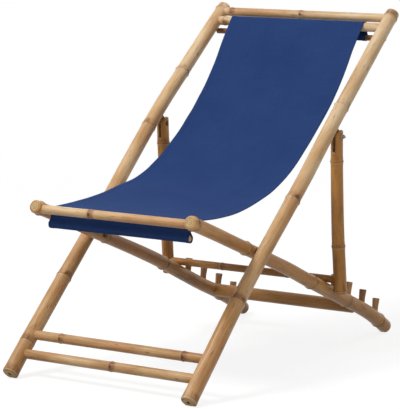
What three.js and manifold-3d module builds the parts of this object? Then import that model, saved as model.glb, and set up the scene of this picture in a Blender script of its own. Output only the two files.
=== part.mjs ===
// Bamboo folding recliner with a canvas sling.
// Millimetres, +X towards the sitter's left, +Y towards the back, +Z up.
import * as THREE from 'three';
import { mergeVertices } from 'three/addons/utils/BufferGeometryUtils.js';
import Module from 'manifold-3d';

const wasm = await Module();
wasm.setup();

// Shared clearances
const fitGap = 0.3;
const cutOverrun = 4;
const degree = Math.PI / 180;

// Back frame: the two long poles that carry the canvas from floor to head
const backPoleRadius = 19;
const backPoleLength = 1384;
const backPoleHalfSpan = 281;
const backPoleAngle = 41.44 * degree;
const footTrim = 2.4;

// Natural bow of each pole, as shares of its length, where its nodes are, and its girth
const leftBackBowShares = [
  [0, -0.0005], [0.05, 0.0016], [0.12, 0.0050], [0.19, 0.0084], [0.27, 0.0098],
  [0.38, 0.0082], [0.47, 0.0058], [0.54, 0.0044], [0.6, 0.0053], [0.7, 0.0062],
  [0.78, 0.0044], [0.86, 0.0029], [0.93, 0.0018], [1, 0],
];
const rightBackBowShares = [
  [0, 0.0010], [0.05, 0.0036], [0.13, 0.0056], [0.22, 0.0074], [0.33, 0.0087],
  [0.45, 0.0108], [0.55, 0.0144], [0.66, 0.0169], [0.72, 0.0159], [0.78, 0.0126],
  [0.85, 0.0091], [0.93, 0.0050], [1, 0],
];
const leftBackNodeShares = [0.228, 0.484, 0.729, 0.986];
const rightBackNodeShares = [0.075, 0.236, 0.436, 0.632, 0.792, 0.985];
const backTaperShares = [
  [0, 1.12], [0.2, 1.07], [0.32, 1], [0.38, 1], [0.46, 1.03], [0.6, 1.03], [0.75, 1.02], [1, 0.99],
];

// Rails between the back poles, by their distance from the foot or from the head
const lowerFootRailStation = 69;
const upperFootRailStation = 131;
const canvasHeadRailSetback = 63;
const headRailSetback = 23;
const canvasHeadRailStation = backPoleLength - canvasHeadRailSetback;
const headRailStation = backPoleLength - headRailSetback;
const footRailRadius = 13;
const headRailRadius = 12.5;
const canvasRailRadius = 13;
const lowerFootRailNodeShares = [0.048];
const upperFootRailNodeShares = [-0.677, 0.766];
const headRailNodeShares = [-0.907, -0.03];
const canvasHeadRailNodeShares = [-0.918];

// Seat frame: the two shorter poles that cross the back poles and carry the pegs
const seatPoleRadius = 17.5;
const seatPoleLength = 1116;
const seatPivotStation = 312;
const backPivotStation = 482.5;
const pivotGap = 1.5;
const seatPoleHalfSpan = backPoleHalfSpan - backPoleRadius - pivotGap - seatPoleRadius;
const leftSeatBowShares = [
  [0, 0], [0.12, 0.0046], [0.2, 0.0068], [0.28, 0.0090], [0.45, 0.0130], [0.55, 0.0122],
  [0.66, 0.0126], [0.76, 0.0136], [0.88, 0.0132], [0.95, 0.0078], [1, 0.0008],
];
const rightSeatBowShares = [
  [0, 0], [0.12, 0.0050], [0.2, 0.0072], [0.28, 0.0090], [0.42, 0.0136], [0.53, 0.0156],
  [0.6, 0.0145], [0.66, 0.0126], [0.77, 0.0102], [0.86, 0.0110], [0.95, 0.0070], [1, 0.0008],
];
const leftSeatNodeShares = [0.013, 0.25, 0.577, 0.766, 0.954];
const rightSeatNodeShares = [0.02, 0.301, 0.572, 0.868, 0.972];
const seatTaperShares = [[0, 1.02], [0.2, 1], [0.35, 1], [0.5, 1.06], [0.8, 1.1], [1, 1.14]];

// Rails between the seat poles, by their distance from the front end or from the rear end
const frontRailStation = 18;
const canvasFrontRailStation = 56.5;
const rearRailSetback = 189;
const rearRailStation = seatPoleLength - rearRailSetback;
const frontRailDrop = 2.5;
const rearRailDrop = 1.5;
const frontRailRadius = 12;
const rearRailRadius = 18.2;
const frontRailNodeShares = [-0.323];
const canvasFrontRailNodeShares = [];
const rearRailNodeShares = [];

// Pegs that stand on the seat poles, one behind another
const pegCount = 4;
const pegPitch = 87;
const lastPegSetback = 82;
const firstPegStation = seatPoleLength - lastPegSetback - (pegCount - 1) * pegPitch;
const pegRadius = 8.8;
const pegHeadFlare = 0.9;
const pegHeight = 34;
const pegSeatDepth = 19;
const pegChamfer = 1.4;
const pegLean = 12 * degree;

// Prop frame: the two short poles and the bar that stands in front of the first pegs
const propPoleRadius = 17;
const propPoleOutset = 6;
const propPoleHalfSpan = backPoleHalfSpan + propPoleOutset;
const propBarRadius = 10.5;
const propBarPlay = 24.4;
const propFootOverhang = 36.5;
const propTopOverhang = 17;
const leftPropBowShares = [
  [0, 0.0070], [0.15, 0.0125], [0.35, 0.0195], [0.5, 0.0200], [0.7, 0.0165], [0.88, 0.0105],
  [1, 0.0030],
];
const rightPropBowShares = [[0, 0], [0.3, 0.003], [0.6, 0.004], [1, 0]];
const leftPropNodeShares = [0.024, 0.296, 0.815];
const rightPropNodeShares = [0.03, 0.42, 0.84];
const propBarNodeShares = [-0.36, 0.42];
const leftPropTaperShares = [[0, 1.09], [0.4, 1.045], [0.85, 1], [1, 1]];
const rightPropTaperShares = [[0, 0.97], [0.5, 1], [1, 1]];

// Prop hinge: a wooden tongue from the back pole, held in the sawn fork of the prop pole
const hingeStation = 935.5;
const hingeTurnClearance = 1;
const tongueThickness = 8;
const tongueHalfHeight = 15;
const tongueNoseRadius = 12.5;
const tongueRootDepth = 12;
const forkDepth = 58;

// Steel bolts, washers, nuts and inserts
const boltRadius = 3;
const boltRunningGap = 0.35;
const boltHeadRadius = 6.2;
const boltHeadHeight = 3.4;
const spotFaceDepth = 2;
const washerRadius = 7.4;
const washerThickness = 1.3;
const nutRadius = 5.6;
const nutThickness = 4.8;
const boltShow = 3.6;
const spacerRadius = 9;
const nutSides = 6;
const insertRadius = 5.6;
const insertLength = 18;

// Shapes that all bamboo pieces share
const endRounding = 3.4;
const pithRadius = 4.6;
const pithDepth = 7;
const ringSpacing = 118;
const nodeShapeShares = [[-0.5, 1], [-0.06, 1.09], [0.4, 1]];
const endRoundingShares = [[0, 1], [0.3, 0.3], [1, 0]];
const tenonRadiusShare = 0.6;
const tenonReachShare = 0.2;
const copeReach = 7;
const poleSides = 16;
const railSides = 12;
const smallSides = 10;

// Canvas sling with a sewn sleeve round a dowel at each end
const canvasThickness = 1.5;
const canvasEdgeGap = 5.5;
const frontDowelRadius = 9.5;
const headDowelRadius = 8;
const headDowelInset = 1;
const headDowelHalfLength = backPoleHalfSpan - headDowelInset;
const sleeveEase = 1.3;
const frontSleeveDrop = 28.5;
const headSleeveSetback = 77;
const headSleeveStation = backPoleLength - headSleeveSetback;
const frontLeaveAngle = -4 * degree;
const headArriveAngle = 49.2 * degree;
const canvasWidthSteps = 8;
const spanSteps = 18;
const wrapSteps = 6;
const sleeveSteps = 16;

// Hang of the two canvas edges below the straight line between the rails, as shares of that line
const rightSagShares = [
  [0, 0], [0.083, 0.041], [0.18, 0.084], [0.258, 0.112], [0.368, 0.149], [0.474, 0.158],
  [0.56, 0.153], [0.642, 0.141], [0.72, 0.122], [0.79, 0.100], [0.855, 0.073], [0.916, 0.040],
  [1, 0],
];
const leftSagShares = [
  [0, 0], [0.083, 0.051], [0.18, 0.100], [0.258, 0.127], [0.368, 0.153], [0.474, 0.157],
  [0.56, 0.146], [0.642, 0.131], [0.72, 0.114], [0.79, 0.091], [0.855, 0.064], [0.916, 0.034],
  [1, 0],
];
const middleSagShare = 0.005;

// Colours and surfaces
const paleBamboo = new THREE.MeshStandardMaterial({ color: 0xd9bb8a, roughness: 0.42, metalness: 0 });
const warmBamboo = new THREE.MeshStandardMaterial({ color: 0xc79e66, roughness: 0.45, metalness: 0 });
const darkBamboo = new THREE.MeshStandardMaterial({ color: 0xa97c45, roughness: 0.48, metalness: 0 });
const dowelWood = new THREE.MeshStandardMaterial({ color: 0xb78f5e, roughness: 0.6, metalness: 0 });
const navyCanvas = new THREE.MeshStandardMaterial({ color: 0x2c4576, roughness: 0.92, metalness: 0 });
const zincSteel = new THREE.MeshStandardMaterial({ color: 0x9a9a98, roughness: 0.38, metalness: 1 });

// A smooth value from a table of [share, value] rows
function valueAt(table, share) {
  const last = table.length - 1;
  const held = Math.min(Math.max(share, table[0][0]), table[last][0]);
  let row = 0;
  while (row < last - 1 && held > table[row + 1][0]) row += 1;
  const slopeAt = (index) => {
    const before = table[Math.max(index - 1, 0)];
    const after = table[Math.min(index + 1, last)];
    return (after[1] - before[1]) / (after[0] - before[0]);
  };
  const width = table[row + 1][0] - table[row][0];
  const t = (held - table[row][0]) / width;
  const ease = t * t * (3 - 2 * t);
  const lead = t * (1 - t) * (1 - t);
  const trail = t * t * (t - 1);
  const bend = width * (slopeAt(row) * lead + slopeAt(row + 1) * trail);
  return table[row][1] * (1 - ease) + table[row + 1][1] * ease + bend;
}

// The bowed centre line of a pole that runs along local Y and bows towards local Z
function bowedAxis(length, bowShares) {
  const offset = (station) => length * valueAt(bowShares, station / length);
  const slope = (station) => {
    const step = length / 200;
    return (offset(station + step) - offset(station - step)) / (2 * step);
  };
  return { offset, slope };
}

const straightAxis = { offset: () => 0, slope: () => 0 };

// Turns an outline drawn in the side view, and its thickness, into the frame's own directions
const outlineToFrame = new THREE.Matrix4().makeBasis(
  new THREE.Vector3(0, 1, 0), new THREE.Vector3(0, 0, 1), new THREE.Vector3(1, 0, 0),
);

// A solid turned round a centre line from rows of [station, radius]
function turning(profile, axis, sides) {
  const points = [];
  const rings = [];
  for (const [station, radius] of profile) {
    const tilt = Math.atan(axis.slope(station));
    const height = axis.offset(station);
    const ring = [];
    const count = radius === 0 ? 1 : sides;
    for (let k = 0; k < count; k += 1) {
      const turn = (2 * Math.PI * k) / sides;
      const up = radius * Math.cos(turn);
      ring.push(points.length / 3);
      points.push(radius * Math.sin(turn), station - up * Math.sin(tilt), height + up * Math.cos(tilt));
    }
    rings.push(ring);
  }
  const faces = [];
  for (let i = 1; i < rings.length; i += 1) {
    const near = rings[i - 1];
    const far = rings[i];
    for (let k = 0; k < sides; k += 1) {
      const next = (k + 1) % sides;
      if (near.length > 1) faces.push(near[k], near[next], far[next % far.length]);
      if (far.length > 1) faces.push(near[k % near.length], far[next], far[k]);
    }
  }
  const geometry = new THREE.BufferGeometry();
  geometry.setAttribute('position', new THREE.Float32BufferAttribute(points, 3));
  geometry.setIndex(faces);
  return geometry;
}

// Booleans
function solidOf(geometry) {
  const bare = geometry.clone();
  bare.deleteAttribute('normal');
  bare.deleteAttribute('uv');
  const merged = mergeVertices(bare);
  return new wasm.Manifold(new wasm.Mesh({
    numProp: 3,
    vertProperties: new Float32Array(merged.attributes.position.array),
    triVerts: new Uint32Array(merged.index.array),
  }));
}

function geometryOf(solid) {
  const mesh = solid.getMesh();
  const geometry = new THREE.BufferGeometry();
  geometry.setAttribute('position', new THREE.BufferAttribute(mesh.vertProperties, 3));
  geometry.setIndex(new THREE.BufferAttribute(mesh.triVerts, 1));
  geometry.computeVertexNormals();
  return geometry;
}

function subtractAll(solid, cutters) {
  return cutters.reduce((rest, cutter) => rest.subtract(cutter), solid);
}

function rodAlongX(radius, from, to, y, z, sides) {
  const rod = new THREE.CylinderGeometry(radius, radius, Math.abs(to - from), sides);
  rod.rotateZ(-Math.PI / 2);
  rod.translate((from + to) / 2, y, z);
  return solidOf(rod);
}

function boreAlongX(radius, from, to, y, z, sides) {
  return rodAlongX((radius + fitGap) / Math.cos(Math.PI / sides), from, to, y, z, sides);
}

function block(low, high) {
  const size = high.map((value, i) => value - low[i]);
  const box = new THREE.BoxGeometry(...size);
  box.translate(...high.map((value, i) => (value + low[i]) / 2));
  return solidOf(box);
}

function ringAlongX(inner, outer, from, to, y, z, sides) {
  const low = Math.min(from, to) - cutOverrun;
  const high = Math.max(from, to) + cutOverrun;
  const bore = rodAlongX(inner, low, high, y, z, smallSides);
  return rodAlongX(outer, from, to, y, z, sides).subtract(bore);
}

function addMesh(group, name, geometry, material) {
  geometry.computeVertexNormals();
  const mesh = new THREE.Mesh(geometry, material);
  mesh.name = name;
  group.add(mesh);
}

// The outline of a length of bamboo: rounded cut ends, a pith hole, and a ridge at each node
function endRows(radius, place) {
  return endRoundingShares.map(([along, inward]) => [
    place(endRounding * along), radius - endRounding * inward,
  ]);
}

function culmRows({ length, radius, nodeShares, girth }, growth) {
  const body = [];
  const nodeReach = radius * nodeShapeShares[nodeShapeShares.length - 1][0];
  for (const share of nodeShares) {
    for (const [along, width] of nodeShapeShares) {
      const station = share * length + radius * along;
      body.push([station, girth(station) * width + growth]);
    }
  }
  const plain = Math.round(length / ringSpacing);
  for (let i = 1; i < plain; i += 1) {
    const station = (i * length) / plain;
    const clear = nodeShares.every((share) => Math.abs(share * length - station) > 3 * nodeReach);
    if (clear) body.push([station, girth(station) + growth]);
  }
  body.sort((a, b) => a[0] - b[0]);
  const inside = body.filter(([station]) => station > 2 * endRounding && station < length - 2 * endRounding);
  return [
    [pithDepth, 0], [pithDepth, pithRadius], [0, pithRadius],
    ...endRows(girth(0) + growth, (along) => along),
    ...inside,
    ...endRows(girth(length) + growth, (along) => length - along).reverse(),
    [length, pithRadius], [length - pithDepth, pithRadius], [length - pithDepth, 0],
  ];
}

function railRows(halfLength, radius, nodeShares) {
  const body = [];
  for (const share of nodeShares) {
    for (const [along, width] of nodeShapeShares) {
      body.push([share * halfLength + radius * along, radius * width]);
    }
  }
  body.sort((a, b) => a[0] - b[0]);
  return [
    [-halfLength, 0], [-halfLength, radius], ...body, [halfLength, radius], [halfLength, 0],
  ];
}

// One pole of a frame: its centre line, and its outline grown by the fitting gap for coping
function makePole(spec) {
  const axis = bowedAxis(spec.length, spec.bowShares);
  const girth = (station) => spec.radius * valueAt(spec.taperShares, station / spec.length);
  const shape = (growth) => {
    const geometry = turning(culmRows({ ...spec, girth }, growth), axis, poleSides);
    geometry.translate(spec.x, 0, 0);
    return geometry;
  };
  return { ...spec, axis, girth, geometry: shape(0), envelope: solidOf(shape(fitGap)) };
}

// A rail between a pair of poles, coped to them, with a round tenon let into each
function makeRail(rail, poles) {
  const halfSpan = Math.abs(poles[0].x);
  const poleRadius = poles[0].radius;
  const halfBody = halfSpan - poleRadius + copeReach;
  const body = turning(railRows(halfBody, rail.radius, rail.nodeShares), straightAxis, railSides);
  body.rotateZ(-Math.PI / 2);
  body.translate(0, rail.station, rail.height);
  const coped = subtractAll(solidOf(body), poles.map((pole) => pole.envelope));
  const tenonRadius = rail.radius * tenonRadiusShare;
  const reach = halfSpan + poleRadius * tenonReachShare;
  const tenon = rodAlongX(tenonRadius, -reach, reach, rail.station, rail.height, railSides);
  return geometryOf(coped.add(tenon));
}

function tenonSocket(rail, pole) {
  const side = Math.sign(pole.x);
  const from = side * (Math.abs(pole.x) - pole.radius - cutOverrun);
  const to = side * (Math.abs(pole.x) + pole.radius * tenonReachShare + fitGap);
  const radius = rail.radius * tenonRadiusShare;
  return boreAlongX(radius, from, to, rail.station, rail.height, railSides);
}

// Poles of the three frames
const sides = [
  { side: 1, word: 'left', backBow: leftBackBowShares, backNodes: leftBackNodeShares,
    seatBow: leftSeatBowShares, seatNodes: leftSeatNodeShares, propBow: leftPropBowShares,
    propNodes: leftPropNodeShares, propTaper: leftPropTaperShares },
  { side: -1, word: 'right', backBow: rightBackBowShares, backNodes: rightBackNodeShares,
    seatBow: rightSeatBowShares, seatNodes: rightSeatNodeShares, propBow: rightPropBowShares,
    propNodes: rightPropNodeShares, propTaper: rightPropTaperShares },
];
const backPoles = sides.map(({ side, backBow, backNodes }) => makePole({
  x: side * backPoleHalfSpan, radius: backPoleRadius, length: backPoleLength,
  bowShares: backBow, nodeShares: backNodes, taperShares: backTaperShares,
}));
const seatPoles = sides.map(({ side, seatBow, seatNodes }) => makePole({
  x: side * seatPoleHalfSpan, radius: seatPoleRadius, length: seatPoleLength,
  bowShares: seatBow, nodeShares: seatNodes, taperShares: seatTaperShares,
}));
const meanOffset = (poles, station) => (
  poles.reduce((sum, pole) => sum + pole.axis.offset(station), 0) / poles.length
);

// Where the frames stand: both pairs of feet are trimmed to the floor
function lowestPoint(geometry, angle, station = 0, height = 0) {
  const place = geometry.getAttribute('position');
  let lowest = Infinity;
  for (let i = 0; i < place.count; i += 1) {
    const rise = (place.getY(i) - station) * Math.sin(angle) + (place.getZ(i) - height) * Math.cos(angle);
    lowest = Math.min(lowest, rise);
  }
  return lowest;
}

function framePoint(frame, station, height) {
  return new THREE.Vector3(0, station, height).applyMatrix4(frame.matrixWorld);
}

const recliner = new THREE.Group();
const backFrame = new THREE.Group();
const seatFrame = new THREE.Group();
const propFrame = new THREE.Group();
const sling = new THREE.Group();
recliner.add(backFrame, seatFrame, propFrame, sling);

backFrame.rotation.x = backPoleAngle;
const backDrops = backPoles.map((pole) => lowestPoint(pole.geometry, backPoleAngle));
backFrame.position.z = -Math.max(...backDrops) - footTrim;
backFrame.updateMatrixWorld();

const pivotHeight = meanOffset(backPoles, backPivotStation);
const pivot = framePoint(backFrame, backPivotStation, pivotHeight);
const seatPivotHeight = seatPoles[0].axis.offset(seatPivotStation);

function seatFootHeight(angle) {
  const drops = seatPoles.map((pole) => (
    lowestPoint(pole.geometry, -angle, seatPivotStation, seatPivotHeight)
  ));
  return pivot.z + Math.max(...drops) + footTrim;
}

let shallow = 2 * degree;
let steep = 60 * degree;
for (let i = 0; i < 40; i += 1) {
  const middle = (shallow + steep) / 2;
  if (seatFootHeight(middle) > 0) shallow = middle;
  else steep = middle;
}
const seatAngle = (shallow + steep) / 2;
seatFrame.rotation.x = -seatAngle;
seatFrame.updateMatrixWorld();
const seatPivotTurned = framePoint(seatFrame, seatPivotStation, seatPivotHeight);
seatFrame.position.copy(pivot).sub(seatPivotTurned);
seatFrame.updateMatrixWorld();

// The prop hangs from its hinge and its bar stands on the seat poles in front of the first pegs
const lowerSide = (pole, station) => pole.axis.offset(station) - pole.girth(station);
const upperSide = (pole, station) => pole.axis.offset(station) + pole.girth(station);
const nearestBack = Math.min(...backPoles.map((pole) => lowerSide(pole, hingeStation)));
const hingeHeight = nearestBack - propPoleRadius - hingeTurnClearance;
const hinge = framePoint(backFrame, hingeStation, hingeHeight);
const barLift = fitGap + propBarRadius;
const pegFrontStation = firstPegStation - pegRadius - barLift * Math.tan(pegLean);
const barStation = pegFrontStation - propBarRadius - propBarPlay;
const barHeight = Math.max(...seatPoles.map((pole) => upperSide(pole, barStation))) + barLift;
const bar = framePoint(seatFrame, barStation, barHeight);
const propReach = hinge.distanceTo(bar);
const propDirection = hinge.clone().sub(bar).normalize();
propFrame.rotation.x = Math.atan2(propDirection.z, propDirection.y);
propFrame.position.copy(bar).addScaledVector(propDirection, -propFootOverhang);
propFrame.updateMatrixWorld();
const propHingeStation = propFootOverhang + propReach;
const propPoleLength = propHingeStation + propTopOverhang;
const propPoles = sides.map(({ side, propBow, propNodes, propTaper }) => makePole({
  x: side * propPoleHalfSpan, radius: propPoleRadius, length: propPoleLength,
  bowShares: propBow, nodeShares: propNodes, taperShares: propTaper,
}));

// Rails, each at the mean height of its two poles
function railBetween(poles, station, radius, nodeShares, drop = 0) {
  return { station, radius, nodeShares, height: meanOffset(poles, station) - drop };
}

const lowerFootRail = railBetween(
  backPoles, lowerFootRailStation, footRailRadius, lowerFootRailNodeShares,
);
const upperFootRail = railBetween(
  backPoles, upperFootRailStation, footRailRadius, upperFootRailNodeShares,
);
const canvasHeadRail = railBetween(
  backPoles, canvasHeadRailStation, canvasRailRadius, canvasHeadRailNodeShares,
);
const headRail = railBetween(backPoles, headRailStation, headRailRadius, headRailNodeShares);
const frontRail = railBetween(
  seatPoles, frontRailStation, frontRailRadius, frontRailNodeShares, frontRailDrop,
);
const canvasFrontRail = railBetween(
  seatPoles, canvasFrontRailStation, canvasRailRadius, canvasFrontRailNodeShares,
);
const rearRail = railBetween(
  seatPoles, rearRailStation, rearRailRadius, rearRailNodeShares, rearRailDrop,
);
const propBar = {
  station: propFootOverhang, radius: propBarRadius, nodeShares: propBarNodeShares, height: 0,
};
const backRails = [lowerFootRail, upperFootRail, canvasHeadRail, headRail];
const seatRails = [frontRail, canvasFrontRail, rearRail];

// The ground, seen from inside a tilted frame
function groundBelow(frame, length) {
  const ground = new THREE.BoxGeometry(length, 4 * length, length);
  ground.translate(0, 0, -length / 2);
  ground.applyMatrix4(frame.matrixWorld.clone().invert());
  return solidOf(ground);
}

// Back poles with their rail sockets, pivot insert hole and tongue mortise
const tongueHalfThickness = tongueThickness / 2;
sides.forEach(({ side, word }, i) => {
  const pole = backPoles[i];
  const inner = backPoleHalfSpan - backPoleRadius;
  const skinHeight = lowerSide(pole, hingeStation);
  const rootHeight = skinHeight + tongueRootDepth;
  const mortiseAcross = [propPoleHalfSpan - tongueHalfThickness - fitGap,
    propPoleHalfSpan + tongueHalfThickness + fitGap].map((x) => side * x).sort((a, b) => a - b);
  const mortise = block(
    [mortiseAcross[0], hingeStation - tongueHalfHeight - fitGap, skinHeight - cutOverrun],
    [mortiseAcross[1], hingeStation + tongueHalfHeight + fitGap, rootHeight + fitGap],
  );
  const insertHole = boreAlongX(
    insertRadius, side * (inner - cutOverrun), side * (inner + insertLength + 3 * fitGap),
    backPivotStation, pivotHeight, railSides,
  );
  const cutters = [
    ...backRails.map((rail) => tenonSocket(rail, pole)),
    mortise, insertHole, groundBelow(backFrame, backPoleLength),
  ];
  const solid = subtractAll(solidOf(pole.geometry), cutters);
  addMesh(backFrame, `back_pole_${word}`, geometryOf(solid), paleBamboo);

  const outline = new THREE.Shape();
  outline.moveTo(hingeStation - tongueHalfHeight, rootHeight);
  outline.lineTo(hingeStation - tongueHalfHeight, skinHeight);
  outline.absarc(hingeStation, hingeHeight, tongueNoseRadius, Math.PI, 2 * Math.PI, false);
  outline.lineTo(hingeStation + tongueHalfHeight, skinHeight);
  outline.lineTo(hingeStation + tongueHalfHeight, rootHeight);
  outline.closePath();
  const eye = new THREE.Path();
  eye.absarc(hingeStation, hingeHeight, boltRadius + boltRunningGap, 0, 2 * Math.PI, true);
  outline.holes.push(eye);
  const plate = new THREE.ExtrudeGeometry(outline, {
    depth: tongueThickness, bevelEnabled: false, curveSegments: railSides / 2,
  });
  plate.applyMatrix4(outlineToFrame);
  plate.translate(side * propPoleHalfSpan - tongueHalfThickness, 0, 0);
  addMesh(backFrame, `hinge_tongue_${word}`, geometryOf(solidOf(plate)), warmBamboo);
});

addMesh(backFrame, 'lower_foot_rail', makeRail(lowerFootRail, backPoles), warmBamboo);
addMesh(backFrame, 'upper_foot_rail', makeRail(upperFootRail, backPoles), warmBamboo);
addMesh(backFrame, 'canvas_head_rail', makeRail(canvasHeadRail, backPoles), paleBamboo);
addMesh(backFrame, 'head_rail', makeRail(headRail, backPoles), paleBamboo);

// Pivot bolts: each runs through a seat pole into a threaded insert in the back pole
const seatInnerFlat = seatPoleHalfSpan - seatPoleRadius + spotFaceDepth;
const backInner = backPoleHalfSpan - backPoleRadius;
const pivotWasherFace = seatInnerFlat - fitGap;
const pivotHeadFace = pivotWasherFace - washerThickness - fitGap;
const insertStart = backInner + fitGap;

function boltRows(headFace, end) {
  const shoulder = headFace - boltHeadHeight;
  return [
    [shoulder, 0], [shoulder, boltHeadRadius / 2],
    [shoulder + boltHeadHeight / 3, boltHeadRadius - boltHeadHeight / 3],
    [headFace - boltHeadHeight / 4, boltHeadRadius], [headFace, boltHeadRadius],
    [headFace, boltRadius], [end - boltRadius / 3, boltRadius], [end, boltRadius * 0.7], [end, 0],
  ];
}

function turnedAlongX(rows, side, y, z, segments) {
  const geometry = turning(rows, straightAxis, segments);
  geometry.rotateZ(-Math.PI / 2);
  if (side < 0) geometry.rotateY(Math.PI);
  geometry.translate(0, y, z);
  return geometry;
}

sides.forEach(({ side, word }) => {
  const ring = (inner, outer, from, to) => geometryOf(ringAlongX(
    inner, outer, side * from, side * to, backPivotStation, pivotHeight, smallSides,
  ));
  const bolt = turnedAlongX(
    boltRows(pivotHeadFace, insertStart + insertLength), side, backPivotStation, pivotHeight,
    smallSides,
  );
  const clearRadius = (boltRadius + fitGap) / Math.cos(Math.PI / smallSides);
  addMesh(backFrame, `pivot_bolt_${word}`, bolt, zincSteel);
  addMesh(backFrame, `pivot_washer_${word}`, ring(
    clearRadius, washerRadius, pivotWasherFace - washerThickness, pivotWasherFace,
  ), zincSteel);
  addMesh(backFrame, `pivot_spacer_${word}`, ring(
    clearRadius, spacerRadius, backInner - pivotGap + fitGap, backInner - fitGap,
  ), zincSteel);
  addMesh(backFrame, `pivot_insert_${word}`, ring(
    clearRadius, insertRadius, insertStart, insertStart + insertLength,
  ), zincSteel);
});

// Seat poles with their rail sockets, peg holes and pivot bore, and the pegs
function alongPeg(geometry, pole, station) {
  geometry.rotateX(Math.PI / 2 + pegLean);
  geometry.translate(pole.x, station, pole.axis.offset(station) + pole.girth(station));
  return geometry;
}

sides.forEach(({ side, word }, i) => {
  const pole = seatPoles[i];
  const pegStations = Array.from({ length: pegCount }, (_, k) => firstPegStation + k * pegPitch);
  const holeRadius = (pegRadius + fitGap) / Math.cos(Math.PI / smallSides);
  const pegHoles = pegStations.map((station) => solidOf(alongPeg(turning([
    [-pegSeatDepth - fitGap, 0], [-pegSeatDepth - fitGap, holeRadius],
    [pegHeight, holeRadius], [pegHeight, 0],
  ], straightAxis, smallSides), pole, station)));
  const inner = seatPoleHalfSpan - seatPoleRadius;
  const spotFace = rodAlongX(
    washerRadius + cutOverrun / 2, side * (inner - cutOverrun), side * seatInnerFlat,
    seatPivotStation, seatPivotHeight, railSides,
  );
  const pivotBore = rodAlongX(
    boltRadius + boltRunningGap, side * (inner - cutOverrun),
    side * (seatPoleHalfSpan + seatPoleRadius + cutOverrun), seatPivotStation, seatPivotHeight,
    railSides,
  );
  const cutters = [
    ...seatRails.map((rail) => tenonSocket(rail, pole)),
    ...pegHoles, spotFace, pivotBore, groundBelow(seatFrame, seatPoleLength),
  ];
  const solid = subtractAll(solidOf(pole.geometry), cutters);
  addMesh(seatFrame, `seat_pole_${word}`, geometryOf(solid), warmBamboo);
  pegStations.forEach((station, k) => {
    const flared = pegRadius + pegHeadFlare;
    const peg = alongPeg(turning([
      [-pegSeatDepth, 0], [-pegSeatDepth, pegRadius - pegChamfer],
      [-pegSeatDepth + pegChamfer, pegRadius], [pegHeight / 5, pegRadius],
      [pegHeight - pegChamfer, flared], [pegHeight, flared - pegChamfer], [pegHeight, 0],
    ], straightAxis, smallSides), pole, station);
    addMesh(seatFrame, `stop_peg_${word}_${k + 1}`, peg, warmBamboo);
  });
});

addMesh(seatFrame, 'front_rail', makeRail(frontRail, seatPoles), paleBamboo);
addMesh(seatFrame, 'canvas_front_rail', makeRail(canvasFrontRail, seatPoles), paleBamboo);
addMesh(seatFrame, 'rear_rail', makeRail(rearRail, seatPoles), darkBamboo);

// Prop poles with their sawn forks, hinge bores and bar sockets. The corner of each fork that turns
// past the back pole is rounded off about the bolt.
const propFlat = propPoleRadius - spotFaceDepth;
sides.forEach(({ side, word }, i) => {
  const pole = propPoles[i];
  const centre = side * propPoleHalfSpan;
  const slotHalf = tongueHalfThickness + fitGap;
  const fork = block(
    [centre - slotHalf, propPoleLength - forkDepth, -propPoleRadius - cutOverrun],
    [centre + slotHalf, propPoleLength + cutOverrun, propPoleRadius + cutOverrun],
  );
  const bore = boreAlongX(
    boltRadius, centre - propPoleRadius - cutOverrun, centre + propPoleRadius + cutOverrun,
    propHingeStation, 0, smallSides,
  );
  const spotFaces = [-1, 1].map((way) => rodAlongX(
    washerRadius + cutOverrun / 4, centre + way * propFlat,
    centre + way * (propPoleRadius + cutOverrun), propHingeStation, 0, railSides,
  ));
  const heelReach = propPoleRadius + cutOverrun;
  const nose = rodAlongX(
    propPoleRadius, centre - heelReach - cutOverrun, centre + heelReach + cutOverrun,
    propHingeStation, 0, 2 * poleSides,
  );
  const heel = block(
    [centre - heelReach, propHingeStation, 0],
    [centre + heelReach, propPoleLength + cutOverrun, heelReach],
  ).subtract(nose);
  const cutters = [tenonSocket(propBar, pole), fork, bore, ...spotFaces, heel];
  const solid = subtractAll(solidOf(pole.geometry), cutters);
  addMesh(propFrame, `prop_pole_${word}`, geometryOf(solid), darkBamboo);

  const washerFace = propPoleHalfSpan + propFlat + fitGap;
  const nutFace = washerFace + washerThickness + fitGap;
  const boltEnd = nutFace + nutThickness + boltShow;
  const bolt = turnedAlongX(
    boltRows(propPoleHalfSpan - propFlat - fitGap, boltEnd), side, propHingeStation, 0, smallSides,
  );
  const ring = (outer, from, to, segments) => geometryOf(ringAlongX(
    (boltRadius + fitGap) / Math.cos(Math.PI / smallSides), outer,
    side * from, side * to, propHingeStation, 0, segments,
  ));
  addMesh(propFrame, `hinge_bolt_${word}`, bolt, zincSteel);
  addMesh(propFrame, `hinge_washer_${word}`, ring(
    washerRadius, washerFace, washerFace + washerThickness, smallSides,
  ), zincSteel);
  addMesh(propFrame, `hinge_nut_${word}`, ring(
    nutRadius, nutFace, nutFace + nutThickness, nutSides,
  ), zincSteel);
});

addMesh(propFrame, 'prop_bar', makeRail(propBar, propPoles), darkBamboo);

// Canvas: its middle line in the side view, from the front sleeve over both rails to the head sleeve
const halfCanvas = canvasThickness / 2;
const canvasHalfWidth = seatPoleHalfSpan - seatPoleRadius - canvasEdgeGap;
const wrapRadius = (canvasRailRadius + fitGap + halfCanvas) / Math.cos(Math.PI / 3 / wrapSteps);
const sleeveInner = Math.max(frontDowelRadius, headDowelRadius) + sleeveEase;
const sleeveOuter = sleeveInner + canvasThickness;
const sideView = (point) => new THREE.Vector2(point.y, point.z);
const frontRailCentre = sideView(framePoint(seatFrame, canvasFrontRailStation, canvasFrontRail.height));
const headRailCentre = sideView(framePoint(backFrame, canvasHeadRailStation, canvasHeadRail.height));
const frontSleeve = new THREE.Vector2(
  frontRailCentre.x - wrapRadius, frontRailCentre.y - frontSleeveDrop,
);
const dowelDrop = (radius) => sleeveInner * Math.cos(Math.PI / sleeveSteps) - radius - fitGap;
const nearestHead = Math.min(...backPoles.map((pole) => lowerSide(pole, headSleeveStation)));
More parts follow.
